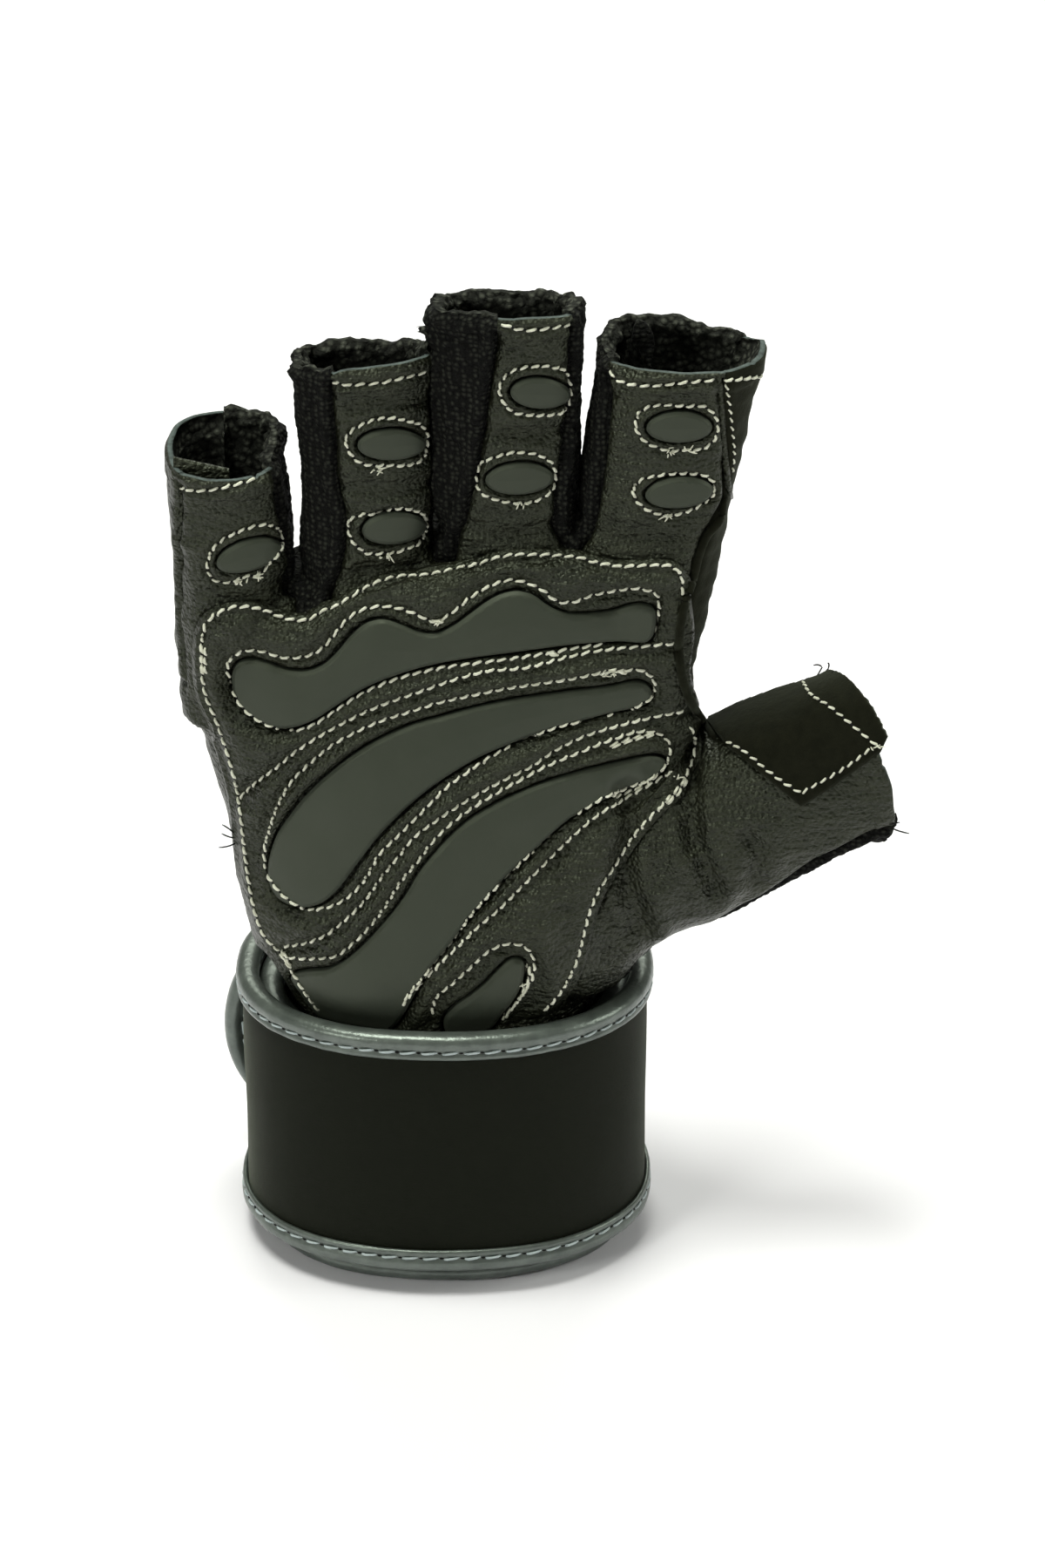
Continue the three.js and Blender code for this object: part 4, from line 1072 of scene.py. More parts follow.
def rubber_piece(node, sheet, outline, rise, crown):
    """A rubber piece on the leather, with a small round at its edge and a slight crown."""
    field = seen_inside(outline)
    shape = ringed(cut(sheet, field)[0], field, (0.2, 0.45, 0.8, 1.4))
    depth = field(shape[0])
    top = rise - 0.55 * np.sqrt(np.clip(1 - depth / 0.6, 0, 1)) + crown * (1 - bell(depth, 5))
    piece = thick_piece(node + "_rubber", shape, top, np.full(len(depth), -1.3), [rubber],
                        [node])
    return piece


for node, row in DOTS.items():
    rubber_piece(node, refined(near_view(oval(*row), 16, -8)), oval(*row), DOT_RISE, 0.5)

# The palm's second layer: quilted leather over thin foam, puffed between its lines of stitches,
# with windows for the four rubber grip pads. Every line of stitches presses it down.
OVERLAY_LEFT = [(236, 716), (232, 738), (232, 765), (236, 796), (249, 828), (260, 860), (270, 896),
                (276, 930), (282, 985), (288, 1024), (296, 1056), (305, 1076), (319, 1090),
                (334, 1112), (347, 1134), (366, 1160)]
OVERLAY_TOP = [(238, 712), (264, 698), (285, 697), (305, 701), (322, 708), (340, 712), (355, 711),
               (370, 702), (388, 695), (405, 684), (422, 674), (440, 666), (458, 662), (480, 661),
               (506, 657), (531, 651), (554, 646), (571, 640), (591, 637), (614, 637), (640, 638),
               (663, 640), (686, 646), (709, 650), (731, 650), (754, 649), (772, 651), (781, 659),
               (783, 683)]
OVERLAY_RIGHT = [(792, 834), (798, 850), (798, 866), (789, 886), (782, 906), (759, 926), (738, 948),
                 (719, 973), (702, 999), (687, 1022), (676, 1048), (669, 1076), (662, 1102),
                 (650, 1128), (638, 1146), (624, 1160)]
UPPER_RING = [(262, 760), (276, 748), (300, 747), (324, 754), (344, 754), (364, 748), (378, 736),
              (392, 718), (408, 704), (428, 697), (452, 697), (476, 704), (500, 713), (520, 702),
              (540, 686), (560, 674), (584, 666), (608, 670), (624, 678), (640, 690), (660, 690),
              (676, 684), (704, 678), (740, 676), (754, 682), (757, 700), (754, 722), (748, 735),
              (712, 738), (660, 744), (628, 750), (580, 757), (540, 762), (500, 768), (460, 778),
              (420, 794), (388, 814), (364, 830), (344, 838), (320, 836), (296, 826), (276, 808),
              (266, 788)]
UPPER_LINE = [(774, 738), (740, 742), (700, 745), (652, 754), (604, 766), (560, 770), (520, 780),
              (480, 794), (440, 808), (400, 826), (368, 844), (340, 862), (316, 882), (292, 900),
              (276, 916)]
MIDDLE_RING = [(716, 769), (740, 770), (751, 782), (751, 796), (736, 808), (712, 818), (676, 826),
               (640, 834), (604, 848), (572, 864), (540, 884), (512, 904), (488, 928), (460, 956),
               (436, 980), (420, 1008), (404, 1026), (380, 1040), (356, 1044), (336, 1036),
               (318, 1020), (306, 1000), (304, 976), (310, 952), (320, 924), (336, 896), (356, 876),
               (380, 856), (408, 840), (440, 826), (472, 816), (504, 806), (540, 798), (580, 790),
               (620, 784), (660, 778), (688, 772)]
MIDDLE_LINE = [(784, 816), (752, 822), (712, 832), (672, 844), (632, 864), (612, 878), (580, 894),
               (552, 909), (524, 926), (500, 942), (476, 960), (460, 980), (440, 1004), (420, 1032),
               (396, 1056), (372, 1074), (352, 1082), (326, 1086)]
LOWER_RING = [(332, 1099), (360, 1100), (388, 1096), (404, 1084), (424, 1064), (444, 1038),
              (460, 1012), (480, 988), (500, 962), (528, 937), (560, 916), (596, 896), (632, 877),
              (668, 862), (704, 848), (740, 839), (760, 844), (769, 858), (765, 876), (752, 891),
              (724, 902), (692, 916), (660, 936), (632, 960), (604, 984), (580, 1008), (556, 1032),
              (536, 1056), (520, 1080), (500, 1104), (480, 1128), (464, 1148)]
LOWER_LINE = [(772, 886), (740, 904), (712, 920), (680, 940), (648, 968), (620, 996), (596, 1020),
              (572, 1044), (548, 1064), (528, 1084), (512, 1100), (492, 1120), (476, 1136),
              (462, 1154)]
HEEL_RING = [(496, 1164), (500, 1146), (520, 1128), (540, 1110), (560, 1092), (582, 1083),
             (604, 1087), (613, 1102), (611, 1122), (598, 1144), (580, 1168)]
HEEL_LINE = [(606, 1134), (592, 1152), (576, 1170)]
PADS = {
    "grip_pad_upper": [(268, 768), (274, 757), (288, 754), (308, 758), (332, 766), (352, 767),
                       (372, 760), (388, 746), (404, 727), (420, 714), (440, 709), (460, 714),
                       (480, 722), (500, 725), (520, 716), (540, 702), (560, 688), (580, 679),
                       (596, 677), (612, 681), (628, 692), (648, 701), (668, 702), (700, 698),
                       (740, 690), (750, 694), (752, 712), (746, 729), (712, 732), (660, 736),
                       (600, 744), (540, 752), (500, 759), (460, 770), (420, 786), (388, 806),
                       (360, 824), (336, 832), (312, 830), (292, 818), (276, 800), (269, 784)],
    "grip_pad_middle": [(734, 779), (744, 784), (747, 791), (742, 801), (727, 808), (697, 815),
                        (659, 826), (622, 837), (584, 851), (554, 864), (524, 881), (497, 899),
                        (475, 917), (452, 939), (433, 960), (418, 980), (403, 1001), (389, 1019),
                        (375, 1031), (358, 1037), (340, 1035), (326, 1027), (317, 1013),
                        (314, 994), (317, 972), (325, 950), (338, 930), (355, 908), (377, 887),
                        (403, 866), (433, 847), (471, 830), (509, 819), (546, 809), (584, 801),
                        (622, 795), (659, 790), (697, 785)],
    "grip_pad_lower": [(746, 865), (756, 868), (759, 878), (750, 887), (716, 902), (686, 917),
                       (655, 934), (629, 956), (603, 981), (580, 1003), (558, 1028), (535, 1054),
                       (516, 1080), (497, 1103), (482, 1126), (467, 1152), (456, 1170), (433, 1184),
                       (403, 1182), (381, 1172), (365, 1152), (351, 1133), (341, 1114), (358, 1110),
                       (381, 1108), (396, 1101), (411, 1089), (426, 1074), (441, 1057), (456, 1039),
                       (469, 1020), (482, 998), (497, 979), (516, 958), (539, 938), (569, 920),
                       (603, 904), (640, 890), (678, 879), (712, 871)],
    "grip_pad_heel": [(510, 1163), (520, 1150), (539, 1137), (558, 1122), (573, 1107), (588, 1096),
                      (599, 1098), (600, 1114), (590, 1137), (575, 1156), (562, 1174), (536, 1182),
                      (512, 1178)],
}
OVERLAY_EDGE = 8  # pixels of leather outside its border of stitches
WINDOW_GAP = 0.6
OVERLAY_RISE = 1.5
PUFF = 1.4

border = curve(OVERLAY_LEFT[::-1] + OVERLAY_TOP + [(786, 720), (780, 770), (786, 806)]
               + OVERLAY_RIGHT, 5)
heading = np.gradient(border, axis=0)
heading /= np.linalg.norm(heading, axis=1)[:, None]
overlay_outline = border + OVERLAY_EDGE * np.stack([heading[:, 1], -heading[:, 0]], 1)
overlay_outline = np.vstack([[(372, 1190)], overlay_outline, [(616, 1190)]])
palm_skin = near_view(overlay_outline, 12)
pad_outlines = {name: curve(outline, 4, True) for name, outline in PADS.items()}
palm_threads = sewn_lines([OVERLAY_LEFT, OVERLAY_TOP, OVERLAY_RIGHT, UPPER_LINE, MIDDLE_LINE,
                           LOWER_RING, LOWER_LINE, HEEL_RING, HEEL_LINE])
palm_rings = sewn_lines([UPPER_RING, MIDDLE_RING], True)
closed_gap = thread_gap(palm_rings, True)
open_gap = thread_gap(palm_threads, False)


def palm_gap(points):
    return np.minimum(closed_gap(points), open_gap(points))


overlay_inside = seen_inside(overlay_outline)
overlay = cut(palm_skin, overlay_inside)[0]
windows = [seen_inside(outline) for outline in pad_outlines.values()]


def window_field(points):
    """How far a point is inside the nearest window, which is a little wider than its pad."""
    return np.maximum.reduce([field(points) for field in windows]) + WINDOW_GAP


overlay = cut(overlay, window_field)[1]
overlay = ringed(overlay, palm_gap, (0.45,))
overlay = ringed(overlay, overlay_inside, (0.5, 1.0))
spots = overlay[0]
window = -window_field(spots)
thread = palm_gap(spots)
edge = overlay_inside(spots)
puffed = PUFF * (1 - bell(thread, 1.5)) + 0.35 * (1 - bell(thread, 4))
puffed += 0.3 * lumps(spots, 2.6, 11) * (1 - bell(thread, 1.6)) + 0.16 * lumps(spots, 1.2, 12)
lift = 0.3 + OVERLAY_RISE + puffed * steps(0, 1.6, edge) * (0.35 + 0.65 * steps(0, 1.3, window))
lift -= 0.9 * np.sqrt(np.clip(1 - edge / 0.9, 0, 1))
lift -= 0.5 * np.sqrt(np.clip(1 - window / 0.5, 0, 1))
quilt = thick_piece("palm_overlay_quilt", overlay, lift, np.full(len(lift), -0.5), [leather],
                    ["palm_overlay"])

# Grip pads: four flat curved bars of matt rubber in the windows of the quilted leather.
PAD_RISE = 2.35
for node, outline in pad_outlines.items():
    rubber_piece(node, palm_skin, outline, PAD_RISE, 0.35)

# The suede patch on the thumb: a kite of black suede with a cut edge, sewn on in a V.
PATCH = [(812, 828), (836, 857), (870, 884), (920, 925), (950, 906), (985, 882), (1012, 862),
         (1020, 845), (1000, 805), (970, 770), (945, 745), (915, 745), (890, 770), (860, 790),
         (820, 808)]
PATCH_WALL = 1.3
patch_skin = near_view(PATCH, 30)
patch_field = seen_inside(PATCH)
patch = ringed(cut(patch_skin, patch_field)[0], patch_field, (0.3, 0.7))
patch_edge = patch_field(patch[0])
patch_top = PATCH_WALL - 0.45 * np.sqrt(np.clip(1 - patch_edge / 0.5, 0, 1))
thick_piece("thumb_patch_suede", patch, patch_top + 0.1 * lumps(patch[0], 4, 2),
            np.full(len(patch_edge), -0.4), [suede], ["thumb_patch"])

# Thread: cream polyester lockstitch. Each stitch is a short bent strand that dives into its needle
# holes. Between two stitches a short dark strand is painted shade of the needle holes.
STITCH_LENGTH = 1.75
STITCH_PITCH = 2.35
THREAD_RADIUS = 0.29
cream = finish("cream_thread", ((0.52, 0.52, 0.41), (0.80, 0.80, 0.68)), 1.5, (0.6, 0.8),
               [("noise", 0.25, 0.06, EVEN)], Specular_IOR_Level=0.3)
# The dark thread finish serves as real black thread for the loose ends and as painted shade of the
# needle holes between stitches.
dark_thread_and_hole_shade = finish("dark_thread_and_hole_shade", ((0.004, 0.004, 0.004), (0.008, 0.008, 0.008)), 1.5,
                      (0.7, 0.9), [("noise", 0.25, 0.05, EVEN)], Specular_IOR_Level=0.2)
chance = np.random.default_rng(7)


class Strands:
    """Many short strands of thread, gathered into one mesh."""

    def __init__(self):
        self.points, self.faces, self.of = [], [], []

    def add(self, path, radius, colour, sides=6, swell=0.0):
        """A strand along a path of points, round at both ends and thicker towards the last."""
        path = np.asarray(path)
        forward = np.gradient(path, axis=0)
        forward /= np.linalg.norm(forward, axis=1)[:, None] + 1e-12
        across = np.cross(forward, [0.31, 0.17, 0.93])
        across /= np.linalg.norm(across, axis=1)[:, None]
        over = np.cross(forward, across)
        angle = np.arange(sides) * 2 * math.pi / sides
        share = np.linspace(-0.93, 0.93, len(path))
        thick = radius * (1 + swell * share) * np.sqrt(np.clip(1 - share ** 6, 0.05, 1))
        rings = [p + t * (np.outer(np.cos(angle), a) + np.outer(np.sin(angle), o))
                 for p, a, o, t in zip(path, across, over, thick)]
        points, faces = tube(rings)
        start = sum(map(len, self.points))
        self.points.append(points)
        self.faces += [[start + i for i in face] for face in faces]
        self.of += [colour] * len(faces)

    def piece(self, name, finishes, slot):
        return add_piece(name, np.vstack(self.points), self.faces, finishes, of=self.of)


skins = BVHTree.FromPolygons(
    np.vstack([points for points, faces in outer_skins]).tolist(),
    np.vstack([faces + sum(len(p) for p, f in outer_skins[:i])
               for i, (points, faces) in enumerate(outer_skins)]).tolist())


def on_glove(line):
    """Where a line drawn on the photograph lies on the glove, with the directions out of it."""
    runs = [[]]
    for pixel in line:
        hit, normal, _, _ = skins.ray_cast(Vector(eye), sight(pixel))
        if hit is not None:
            if runs[-1] and (hit - runs[-1][-1][0]).length > 6:
                runs.append([])
            runs[-1].append((hit, normal))
    longest = max(runs, key=len)
    return np.array([hit for hit, _ in longest]), np.array([normal for _, normal in longest])


def sew(strands, line, closed=False, pitch=STITCH_PITCH, length=STITCH_LENGTH,
        radius=THREAD_RADIUS, colours=(0, 1)):
    """Stitches along a line drawn on the photograph."""
    drawn = curve(line, 2.5, closed)
    if closed:
        drawn = np.vstack([drawn, drawn[:1]])
    places, outward = on_glove(drawn)
    if len(places) < 3:
        return
    sew_along(strands, places, outward, pitch, length, radius, colours)


def sew_along(strands, places, outward, pitch, length, radius, colours):
    travelled = np.r_[0, np.cumsum(np.linalg.norm(np.diff(places, axis=0), axis=1))]
    count = max(1, round((travelled[-1] + pitch - length) / pitch))
    pitch = (travelled[-1] + pitch - length) / count
    length = length / STITCH_PITCH * pitch if pitch < STITCH_PITCH * 1.1 else length

    def at(distance):
        spot = np.array([np.interp(distance, travelled, column) for column in places.T])
        normal = np.array([np.interp(distance, travelled, column) for column in outward.T])
        return spot, normal / (np.linalg.norm(normal) + 1e-9)

    for i in range(count):
        start = i * pitch + chance.uniform(-0.08, 0.08)
        slant = 0.2 + chance.uniform(-0.07, 0.07)
        path = []
        for share in (0, 0.08, 0.25, 0.5, 0.75, 0.92, 1):
            spot, normal = at(start + share * length)
            ahead = at(start + share * length + 0.3)[0] - at(start + share * length - 0.3)[0]
            aside = np.cross(normal, ahead)
            aside /= np.linalg.norm(aside) + 1e-9
            height = radius * (0.85 - 2.6 * abs(2 * share - 1) ** 5)
            path.append(spot + normal * height + aside * slant * (2 * share - 1))
        strands.add(path, radius * chance.uniform(0.92, 1.08), colours[0], swell=0.2)
        # The dark strand in the gap between two stitches is painted shade of the needle holes, not a
        # thread.
        if i < count - 1 and colours[1] is not None:
            middle_of_gap = i * pitch + (length + pitch) / 2
            path = [at(middle_of_gap + s * (pitch - length) * 0.45)[0]
                    + at(middle_of_gap)[1] * radius * (0.1 - 0.3 * s * s) for s in (-1, 0, 1)]
            strands.add(path, radius * 0.8, colours[1])


def knot(strands, pixel, size=1.0):
    """A small tuft where a thread was fastened off."""
    places, outward = on_glove([pixel])
    if not len(places):
        return
    for _ in range(int(9 * size)):
        turn = chance.normal(size=3)
        turn -= (turn @ outward[0]) * outward[0] * 0.6
        centre = places[0] + 0.75 * size * chance.normal(size=3) * [1, 0.4, 0.5]
        path = [centre + outward[0] * (0.3 + 0.25 * math.cos(s)) + turn * 0.45 * s * size
                for s in (-1.2, -0.6, 0, 0.6, 1.2)]
        strands.add(path, 0.14, 0, sides=5)


palm_sewing = Strands()
for line in (OVERLAY_LEFT, OVERLAY_TOP, OVERLAY_RIGHT, UPPER_LINE, MIDDLE_LINE, LOWER_RING,
             LOWER_LINE, HEEL_RING, HEEL_LINE):
    sew(palm_sewing, line)
sew(palm_sewing, UPPER_RING, closed=True)
sew(palm_sewing, MIDDLE_RING, closed=True)
# stretches sewn twice where a line starts and ends
SEWN_TWICE = [[(688, 774), (702, 768), (716, 771)], [(700, 856), (730, 846), (748, 842)],
              [(704, 913), (728, 903), (752, 890)], [(628, 748), (640, 752)],
              [(596, 1138), (604, 1124), (606, 1108)], [(786, 894), (776, 908), (764, 920)],
              [(496, 711), (506, 713)], [(233, 742), (233, 770)], [(324, 1090), (330, 1106)]]
for line in SEWN_TWICE:
    sew(palm_sewing, line)
    sew(palm_sewing, [(x + 3, y + 2) for x, y in line])
for spot in ((500, 713), (700, 771), (742, 897), (604, 1130), (776, 892)):
    knot(palm_sewing, spot, 0.6)
palm_sewing.piece("palm_stitches", [cream, dark_thread_and_hole_shade], "leather")

finger_sewing = Strands()
for line in HEMS.values():
    sew(finger_sewing, line)
for line in DOT_RINGS.values():
    sew(finger_sewing, line, closed=True, pitch=2.1, length=1.6)
INDEX_FLAP_STITCHES = [(834, 441), (838, 468), (841, 495), (843, 520), (841, 543)]
sew(finger_sewing, INDEX_FLAP_STITCHES, pitch=2.0, length=1.4, radius=0.2)
KNOTS = [(435, 540), (444, 639), (599, 579), (768, 518), (792, 514), (763, 593), (276, 666),
         (298, 660)]
for spot in KNOTS:
    knot(finger_sewing, spot, 0.8)
finger_sewing.piece("finger_stitches", [cream, dark_thread_and_hole_shade], "leather")

thumb_sewing = Strands()
PATCH_STITCHES = [[(834, 851), (855, 863), (878, 882), (898, 897), (919, 910)],
                  [(921, 910), (938, 900), (958, 889), (978, 876), (999, 860)],
                  [(922, 783), (929, 795), (951, 810), (971, 826), (991, 843), (1007, 856)]]
for line in PATCH_STITCHES:
    sew(thumb_sewing, line, pitch=2.1, length=1.5, radius=0.25)
knot(thumb_sewing, (1009, 857), 0.7)
thumb_sewing.piece("thumb_stitches", [cream, dark_thread_and_hole_shade], "suede")

# The seam between the palm's leather and the side of the hand: a narrow rolled edge down from the
# index finger to the thumb, and a turned leather edge that stands up beside the index finger.
SEAM_ROLL = [(832, 570), (826, 598), (812, 614), (803, 634), (796, 662), (787, 690), (781, 720),
             (780, 756), (790, 799), (811, 833), (822, 848)]
SEAM_ROLL_RADIUS = 0.95
TURNED_EDGE = [(825, 430), (828, 460), (830, 500), (834, 540), (837, 562), (840, 571)]
TURNED_EDGE_RADIUS = 0.7


def beside_glove(line, step=4):
    """A line drawn on the photograph, laid where its sight passes nearest to the glove."""
    origin = Vector(eye)
    drawn = curve(line, step)
    laid = []
    reach = CAMERA_DISTANCE
    for pixel in drawn:
        look = sight(pixel)
        hit = skins.ray_cast(origin, look)[0]
        for _ in range(6):
            near = hit or skins.find_nearest(origin + look * reach)[0]
            reach = (near - origin).dot(look)
        laid.append(origin + look * reach)
    return np.array(laid)


rolled = Strands()
rolled.add(beside_glove(SEAM_ROLL), SEAM_ROLL_RADIUS, 0, sides=12)
rolled.piece("seam_roll", [suede], "suede")
turned_edge = Strands()
turned_edge.add(beside_glove(TURNED_EDGE), TURNED_EDGE_RADIUS, 0, sides=12)
turned_edge.piece("turned_edge", [leather], "leather")

# Inside the openings: the little finger's side strip runs on behind its front hem, and a cut end of
# the knit stands up in the index finger's opening. Both are loose at the top.
LITTLE_FLAP = [(199, 524), (206, 526), (216, 528), (235, 532), (250, 535), (263, 538)]
INDEX_TAB = [(728, 374), (732, 367), (741, 370), (749, 381), (752, 396)]


def flap(name, limb, line, behind, deep, wall, finishes):
    """A strip whose top edge is drawn on the photograph, behind the front of a finger."""
    level = limb.root + behind * limb.half_depth * limb.front
    sections = []
    for pixel in curve(line, 3):
        look = np.array(sight(pixel))
        top = eye + look * ((level - eye) @ limb.front / (look @ limb.front))
        ring = [(-wall / 2, -deep), (-wall / 2, -0.4), (-wall / 4, -0.05), (wall / 4, -0.05),
                (wall / 2, -0.4), (wall / 2, -deep)]
        sections.append(np.array([top + out * limb.front + up * limb.axis for out, up in ring]))
    points, faces = tube(sections)
    return add_piece(name, points, faces, finishes)


flap("little_finger_flap", pinky, LITTLE_FLAP, 0.62, 5, 1.1, [leather])
flap("index_tab", index, INDEX_TAB, -0.1, 6, 1.6, [knit])

# Loose ends of black thread stand out at the thumb's opening and at the side of the hand, where
# seams were cut off. Each is held in its seam at one end and free at the other.
LOOSE_ENDS = [  # where on the photograph, which way they point there, length in mm
    ((951, 768), (0.3, 1), 2.4), ((944, 766), (-0.8, 1), 1.5), ((955, 772), (1, 0.5), 1.7),
    ((1024, 950), (1, -0.8), 1.6), ((1022, 946), (1, 0.2), 1.2), ((268, 962), (-1, 0.2), 2.6),
    ((270, 968), (-1, -0.7), 2.2), ((268, 956), (-0.8, 0.9), 1.8),
]
loose = Strands()
for pixel, heading, length in LOOSE_ENDS:
    over = beside_glove([pixel, (pixel[0] + 0.01, pixel[1])])[0]
    root, outward = skins.find_nearest(Vector(over))[:2]
    root = np.array(root) - 0.4 * np.array(outward)
    aim = heading[0] * image_right + heading[1] * image_up
    bend = chance.normal(size=3) * 0.4
    free = [over + (s * aim + s * s * bend) * length for s in np.linspace(0, 1, 6)]
    loose.add([root, (root + over) / 2, *free], 0.17, 0, sides=5)
loose.piece("loose_ends", [dark_thread_and_hole_shade], "knit")

# The cuff: a band of black elastic cloth round the wrist, which dips at the front and back, with a
# silver-grey bound edge above and below.
CUFF_WIDTH = 73
CUFF_DEPTH = 60
CUFF_HEIGHT = 54
CUFF_DIP = 8
CUFF_WALL = 2.4
CUFF_SQUARENESS = 2.25
BINDING_REACH = 3.9
BINDING_WALL = 0.8
GAP = 0.3
BINDING_FOOT = GAP + BINDING_WALL
elastic = finish(
    "elastic_cloth", ((0.0022, 0.0026, 0.0014), (0.0042, 0.0048, 0.0029)), 9, (0.74, 0.86),
    [("noise", 0.5, 0.05, (3, 3, 0.35)), ("noise", 0.2, 0.05, EVEN)],
    Specular_IOR_Level=0.18, Specular_Tint=OLIVE, Sheen_Weight=0.12, Sheen_Roughness=0.33,
    Sheen_Tint=OLIVE)
silver = finish(
    "silver_binding", ((0.085, 0.100, 0.090), (0.150, 0.173, 0.156)), 5, (0.26, 0.38),
    [("noise", 1.8, 0.14, EVEN), ("pebbles", 0.5, 0.02, EVEN)],
    Metallic=0.5, Specular_IOR_Level=0.5)
pale_thread = finish("pale_thread", ((0.33, 0.38, 0.39), (0.46, 0.52, 0.53)), 1.5, (0.6, 0.8),
                     [("noise", 0.25, 0.05, EVEN)], Specular_IOR_Level=0.3)


def cuff_line(angles, outside):
    """The floor plan of the cuff at a distance outside its cloth."""
    across, deep = np.cos(angles), np.sin(angles)
    bend = 2 / CUFF_SQUARENESS
    return np.stack([(CUFF_WIDTH / 2 + outside) * np.sign(across) * np.abs(across) ** bend,
                     (CUFF_DEPTH / 2 + outside) * np.sign(deep) * np.abs(deep) ** bend], 1)


def outward_of(path, endless):
    """The direction out of a line on the floor plan that runs counter-clockwise."""
    if endless:
        forward = np.roll(path, -1, 0) - np.roll(path, 1, 0)
    else:
        forward = np.gradient(path, axis=0)
    forward /= np.linalg.norm(forward, axis=1)[:, None]
    return np.stack([forward[:, 1], -forward[:, 0]], 1)


def swept(sections, endless):
    """Points and faces through sections of points, closed at both ends unless it is endless."""
    if not endless:
        return tube(sections)
    count = len(sections[0])
    i = np.arange(count)
    j = (i + 1) % count
    faces = []
    for r in range(len(sections)):
        low, high = r * count, (r + 1) % len(sections) * count
        faces.append(np.stack([low + i, low + j, high + j, high + i], 1))
    return np.vstack(sections), np.vstack(faces).tolist()


def cloth_band(path, outward, bottom, top, wall, endless, wave):
    """A band of cloth. wave moves it in and out, from the distance along and the height."""
    heights = np.linspace(0, 1, 16)
    walk = np.r_[0, np.cumsum(np.linalg.norm(np.diff(path, axis=0), axis=1))]
    sections = []
    for (x, y), (out_x, out_y), low, high, gone in zip(path, outward, bottom, top, walk):
        z = low + heights * (high - low)
        moved = wave(gone, z)
        columns = []
        for side, order in ((1, slice(None)), (-1, slice(None, None, -1))):
            out = (moved + side * wall / 2)[order]
            columns.append(np.stack([x + out_x * out, y + out_y * out, z[order]], 1))
        sections.append(np.vstack(columns))
    return swept(sections, endless)


def binding_profile(half_cloth):
    """The section of a binding: a rolled edge above a stitched groove and a lip, on both sides."""
    outer = half_cloth + GAP + BINDING_WALL
    inner = half_cloth + 0.1
    half = [(outer - 0.45, -BINDING_REACH - 0.1), (outer - 0.08, -BINDING_REACH + 0.15),
            (outer + 0.05, -BINDING_REACH + 0.55), (outer, -3.0), (outer - 0.22, -2.62),
            (outer - 0.32, -2.25), (outer - 0.2, -1.9), (outer + 0.12, -1.4), (outer + 0.22, -0.8),
            (outer + 0.12, -0.1), (outer - 0.25, 0.5), (outer - 0.85, 0.95)]
    top = [(0.45, BINDING_FOOT + 0.08), (-0.45, BINDING_FOOT + 0.08)]
    mirrored = [(-out, up) for out, up in half[::-1]]
    hollow = [(-inner, -BINDING_REACH + 0.1), (-inner, 0.1), (inner, 0.1),
              (inner, -BINDING_REACH + 0.1)]
    return np.array(half + top + mirrored + hollow)


def bound_edge(place, across, beyond, half_cloth, endless, seed):
    """A binding along an edge of cloth, with slight puckers from its stitches."""
    profile = binding_profile(half_cloth)
    walk = np.r_[0, np.cumsum(np.linalg.norm(np.diff(place, axis=0), axis=1))]
    sections = []
    for spot, out, up, gone in zip(place, across, beyond, walk):
        pucker = 1 + 0.035 * noise.noise(Vector((gone / 3.2, seed, 0)))
        slack = 0.22 * noise.noise(Vector((gone / 14, seed, 3)))
        sections.append(spot + np.outer(profile[:, 0] * pucker + slack, out)
                        + np.outer(profile[:, 1] * pucker, up))
    return swept(sections, endless)


def binding_stitches(strands, place, across, beyond, half_cloth, sides=(1, -1)):
    """The stitches that hold a binding, on its outside and inside."""
    depth = half_cloth + GAP + BINDING_WALL - 0.25
    for side in sides:
        line = place - 2.25 * beyond + side * depth * across
        sew_along(strands, line, side * across, 4.2, 3.3, 0.26, (0, 1))


def flat(path, height):
    return np.column_stack([path, np.broadcast_to(height, len(path))])


def upright(count, sign):
    return np.tile([0.0, 0.0, sign], (count, 1))


CUFF_STATIONS = 150
turn = np.arange(CUFF_STATIONS) * 2 * math.pi / CUFF_STATIONS
cuff_path = cuff_line(turn, -CUFF_WALL / 2)
cuff_out = outward_of(cuff_path, True)
cuff_top = CUFF_HEIGHT - CUFF_DIP * np.sin(turn) ** 4
cuff_low = np.full(CUFF_STATIONS, BINDING_FOOT)
points, faces = cloth_band(cuff_path, cuff_out, cuff_low, cuff_top, CUFF_WALL, True,
                           lambda gone, z: 0 * z)
cuff = add_piece("wrist_cuff_cloth", points, faces, [elastic], ["wrist_cuff"])
cuff_sewing = Strands()
cuff_across = np.column_stack([cuff_out, np.zeros(CUFF_STATIONS)])
cuff_edges = (("cuff_binding_top", cuff_top, 1), ("cuff_binding_bottom", cuff_low, -1))
for name, height, sign in cuff_edges:
    place = flat(cuff_path, height)
    beyond = upright(CUFF_STATIONS, sign)
    points, faces = bound_edge(place, cuff_across, beyond, CUFF_WALL / 2, True, 4 + sign)
    add_piece(name + "_tape", points, faces, [silver], [name])
    sides = (1, -1) if sign > 0 else (1,)
    binding_stitches(cuff_sewing, place, cuff_across, beyond, CUFF_WALL / 2, sides)
cuff_sewing.piece("cuff_stitches", [pale_thread, dark_thread_and_hole_shade], "binding")

# The strap: a long band of the same cloth, sewn on at the back. It goes once round the wrist and
# over its own start, and its round end stands a little off. One binding goes all round its edge.
STRAP_HEIGHT = 53.5
STRAP_LIFT = 5
STRAP_WALL = 2.1
STRAP_STANDOFF = 2.6
STRAP_TAIL = 28
STRAP_DROOP = 4
STRAP_START = 98
STRAP_TURN = 375
STRAP_CLIMB = (300, 352)
STRAP_STEP = 2.5
end_radius = STRAP_HEIGHT / 2 - BINDING_FOOT
first_offset = STRAP_STANDOFF + STRAP_WALL / 2
layer_step = STRAP_WALL + 2 * BINDING_WALL + 3 * GAP

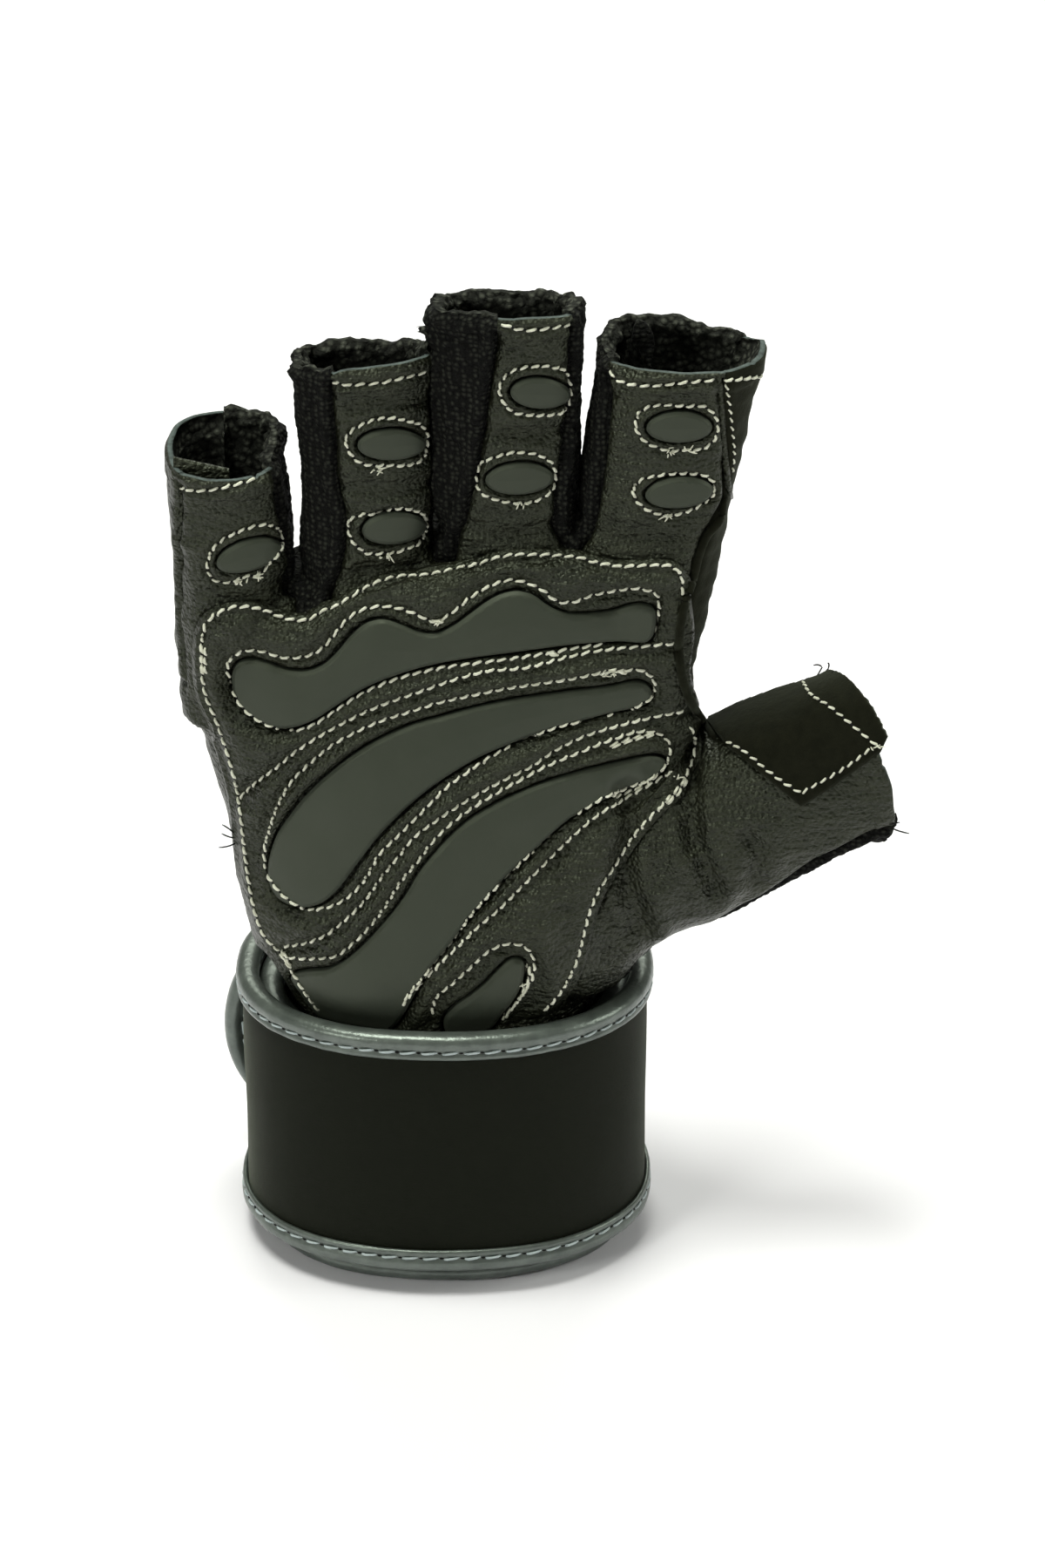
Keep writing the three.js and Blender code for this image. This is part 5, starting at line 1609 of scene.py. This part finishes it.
turned = np.arange(0, STRAP_TURN + 0.01, STRAP_STEP)
offsets = first_offset + layer_step * steps(*STRAP_CLIMB, turned)
round_wrist = np.vstack([cuff_line(np.radians([STRAP_START + t]), o)
                         for t, o in zip(turned, offsets)])
leaving = round_wrist[-1] - round_wrist[-2]
leaving /= np.linalg.norm(leaving)
strap_middle = STRAP_LIFT + STRAP_HEIGHT / 2
drop = STRAP_DROOP * steps(STRAP_TURN - 90, STRAP_TURN, turned)
round_start = STRAP_TAIL - end_radius
arc = np.radians(np.arange(0, 88, 4))
tail = round_wrist[-1] + np.outer(round_start + end_radius * np.sin(arc), leaving)
strap_path = np.vstack([round_wrist, tail])
middles = np.r_[strap_middle - drop, np.full(len(arc), strap_middle - STRAP_DROOP)]
halves = np.r_[np.full(len(turned), end_radius), end_radius * np.cos(arc)]
tail_out = np.array([leaving[1], -leaving[0]])
strap_out = np.vstack([outward_of(round_wrist, False)[:-1], np.tile(tail_out, (len(arc) + 1, 1))])


def strap_wave(gone, z):
    share = (z - STRAP_LIFT) / STRAP_HEIGHT
    held = np.clip(4 * share * (1 - share), 0, 1)
    return held * np.array([0.5 * noise.noise(Vector((gone / 22, h / 26, 1))) for h in z])


points, faces = cloth_band(strap_path, strap_out, middles - halves, middles + halves, STRAP_WALL,
                           False, strap_wave)
strap = add_piece("wrist_strap_cloth", points, faces, [elastic], ["wrist_strap"])

round_centre = round_wrist[-1] + round_start * leaving
swing = np.radians(np.arange(90, -91, -4))
round_place = np.column_stack([round_centre + np.outer(end_radius * np.cos(swing), leaving),
                               strap_middle - STRAP_DROOP + end_radius * np.sin(swing)])
round_beyond = np.column_stack([np.outer(np.cos(swing), leaving), np.sin(swing)])
count = len(turned)
level_out = np.column_stack([strap_out[:count], np.zeros(count)])
edge_place = np.vstack([flat(round_wrist, strap_middle - drop + end_radius), round_place,
                        flat(round_wrist, strap_middle - drop - end_radius)[::-1]])
edge_across = np.vstack([level_out, np.tile([*tail_out, 0], (len(swing), 1)), level_out[::-1]])
edge_beyond = np.vstack([upright(count, 1), round_beyond, upright(count, -1)])
points, faces = bound_edge(edge_place, edge_across, edge_beyond, STRAP_WALL / 2, False, 9)
add_piece("strap_binding_tape", points, faces, [silver], ["strap_binding"])
strap_sewing = Strands()
binding_stitches(strap_sewing, edge_place, edge_across, edge_beyond, STRAP_WALL / 2)
strap_sewing.piece("strap_stitches", [pale_thread, dark_thread_and_hole_shade], "binding")
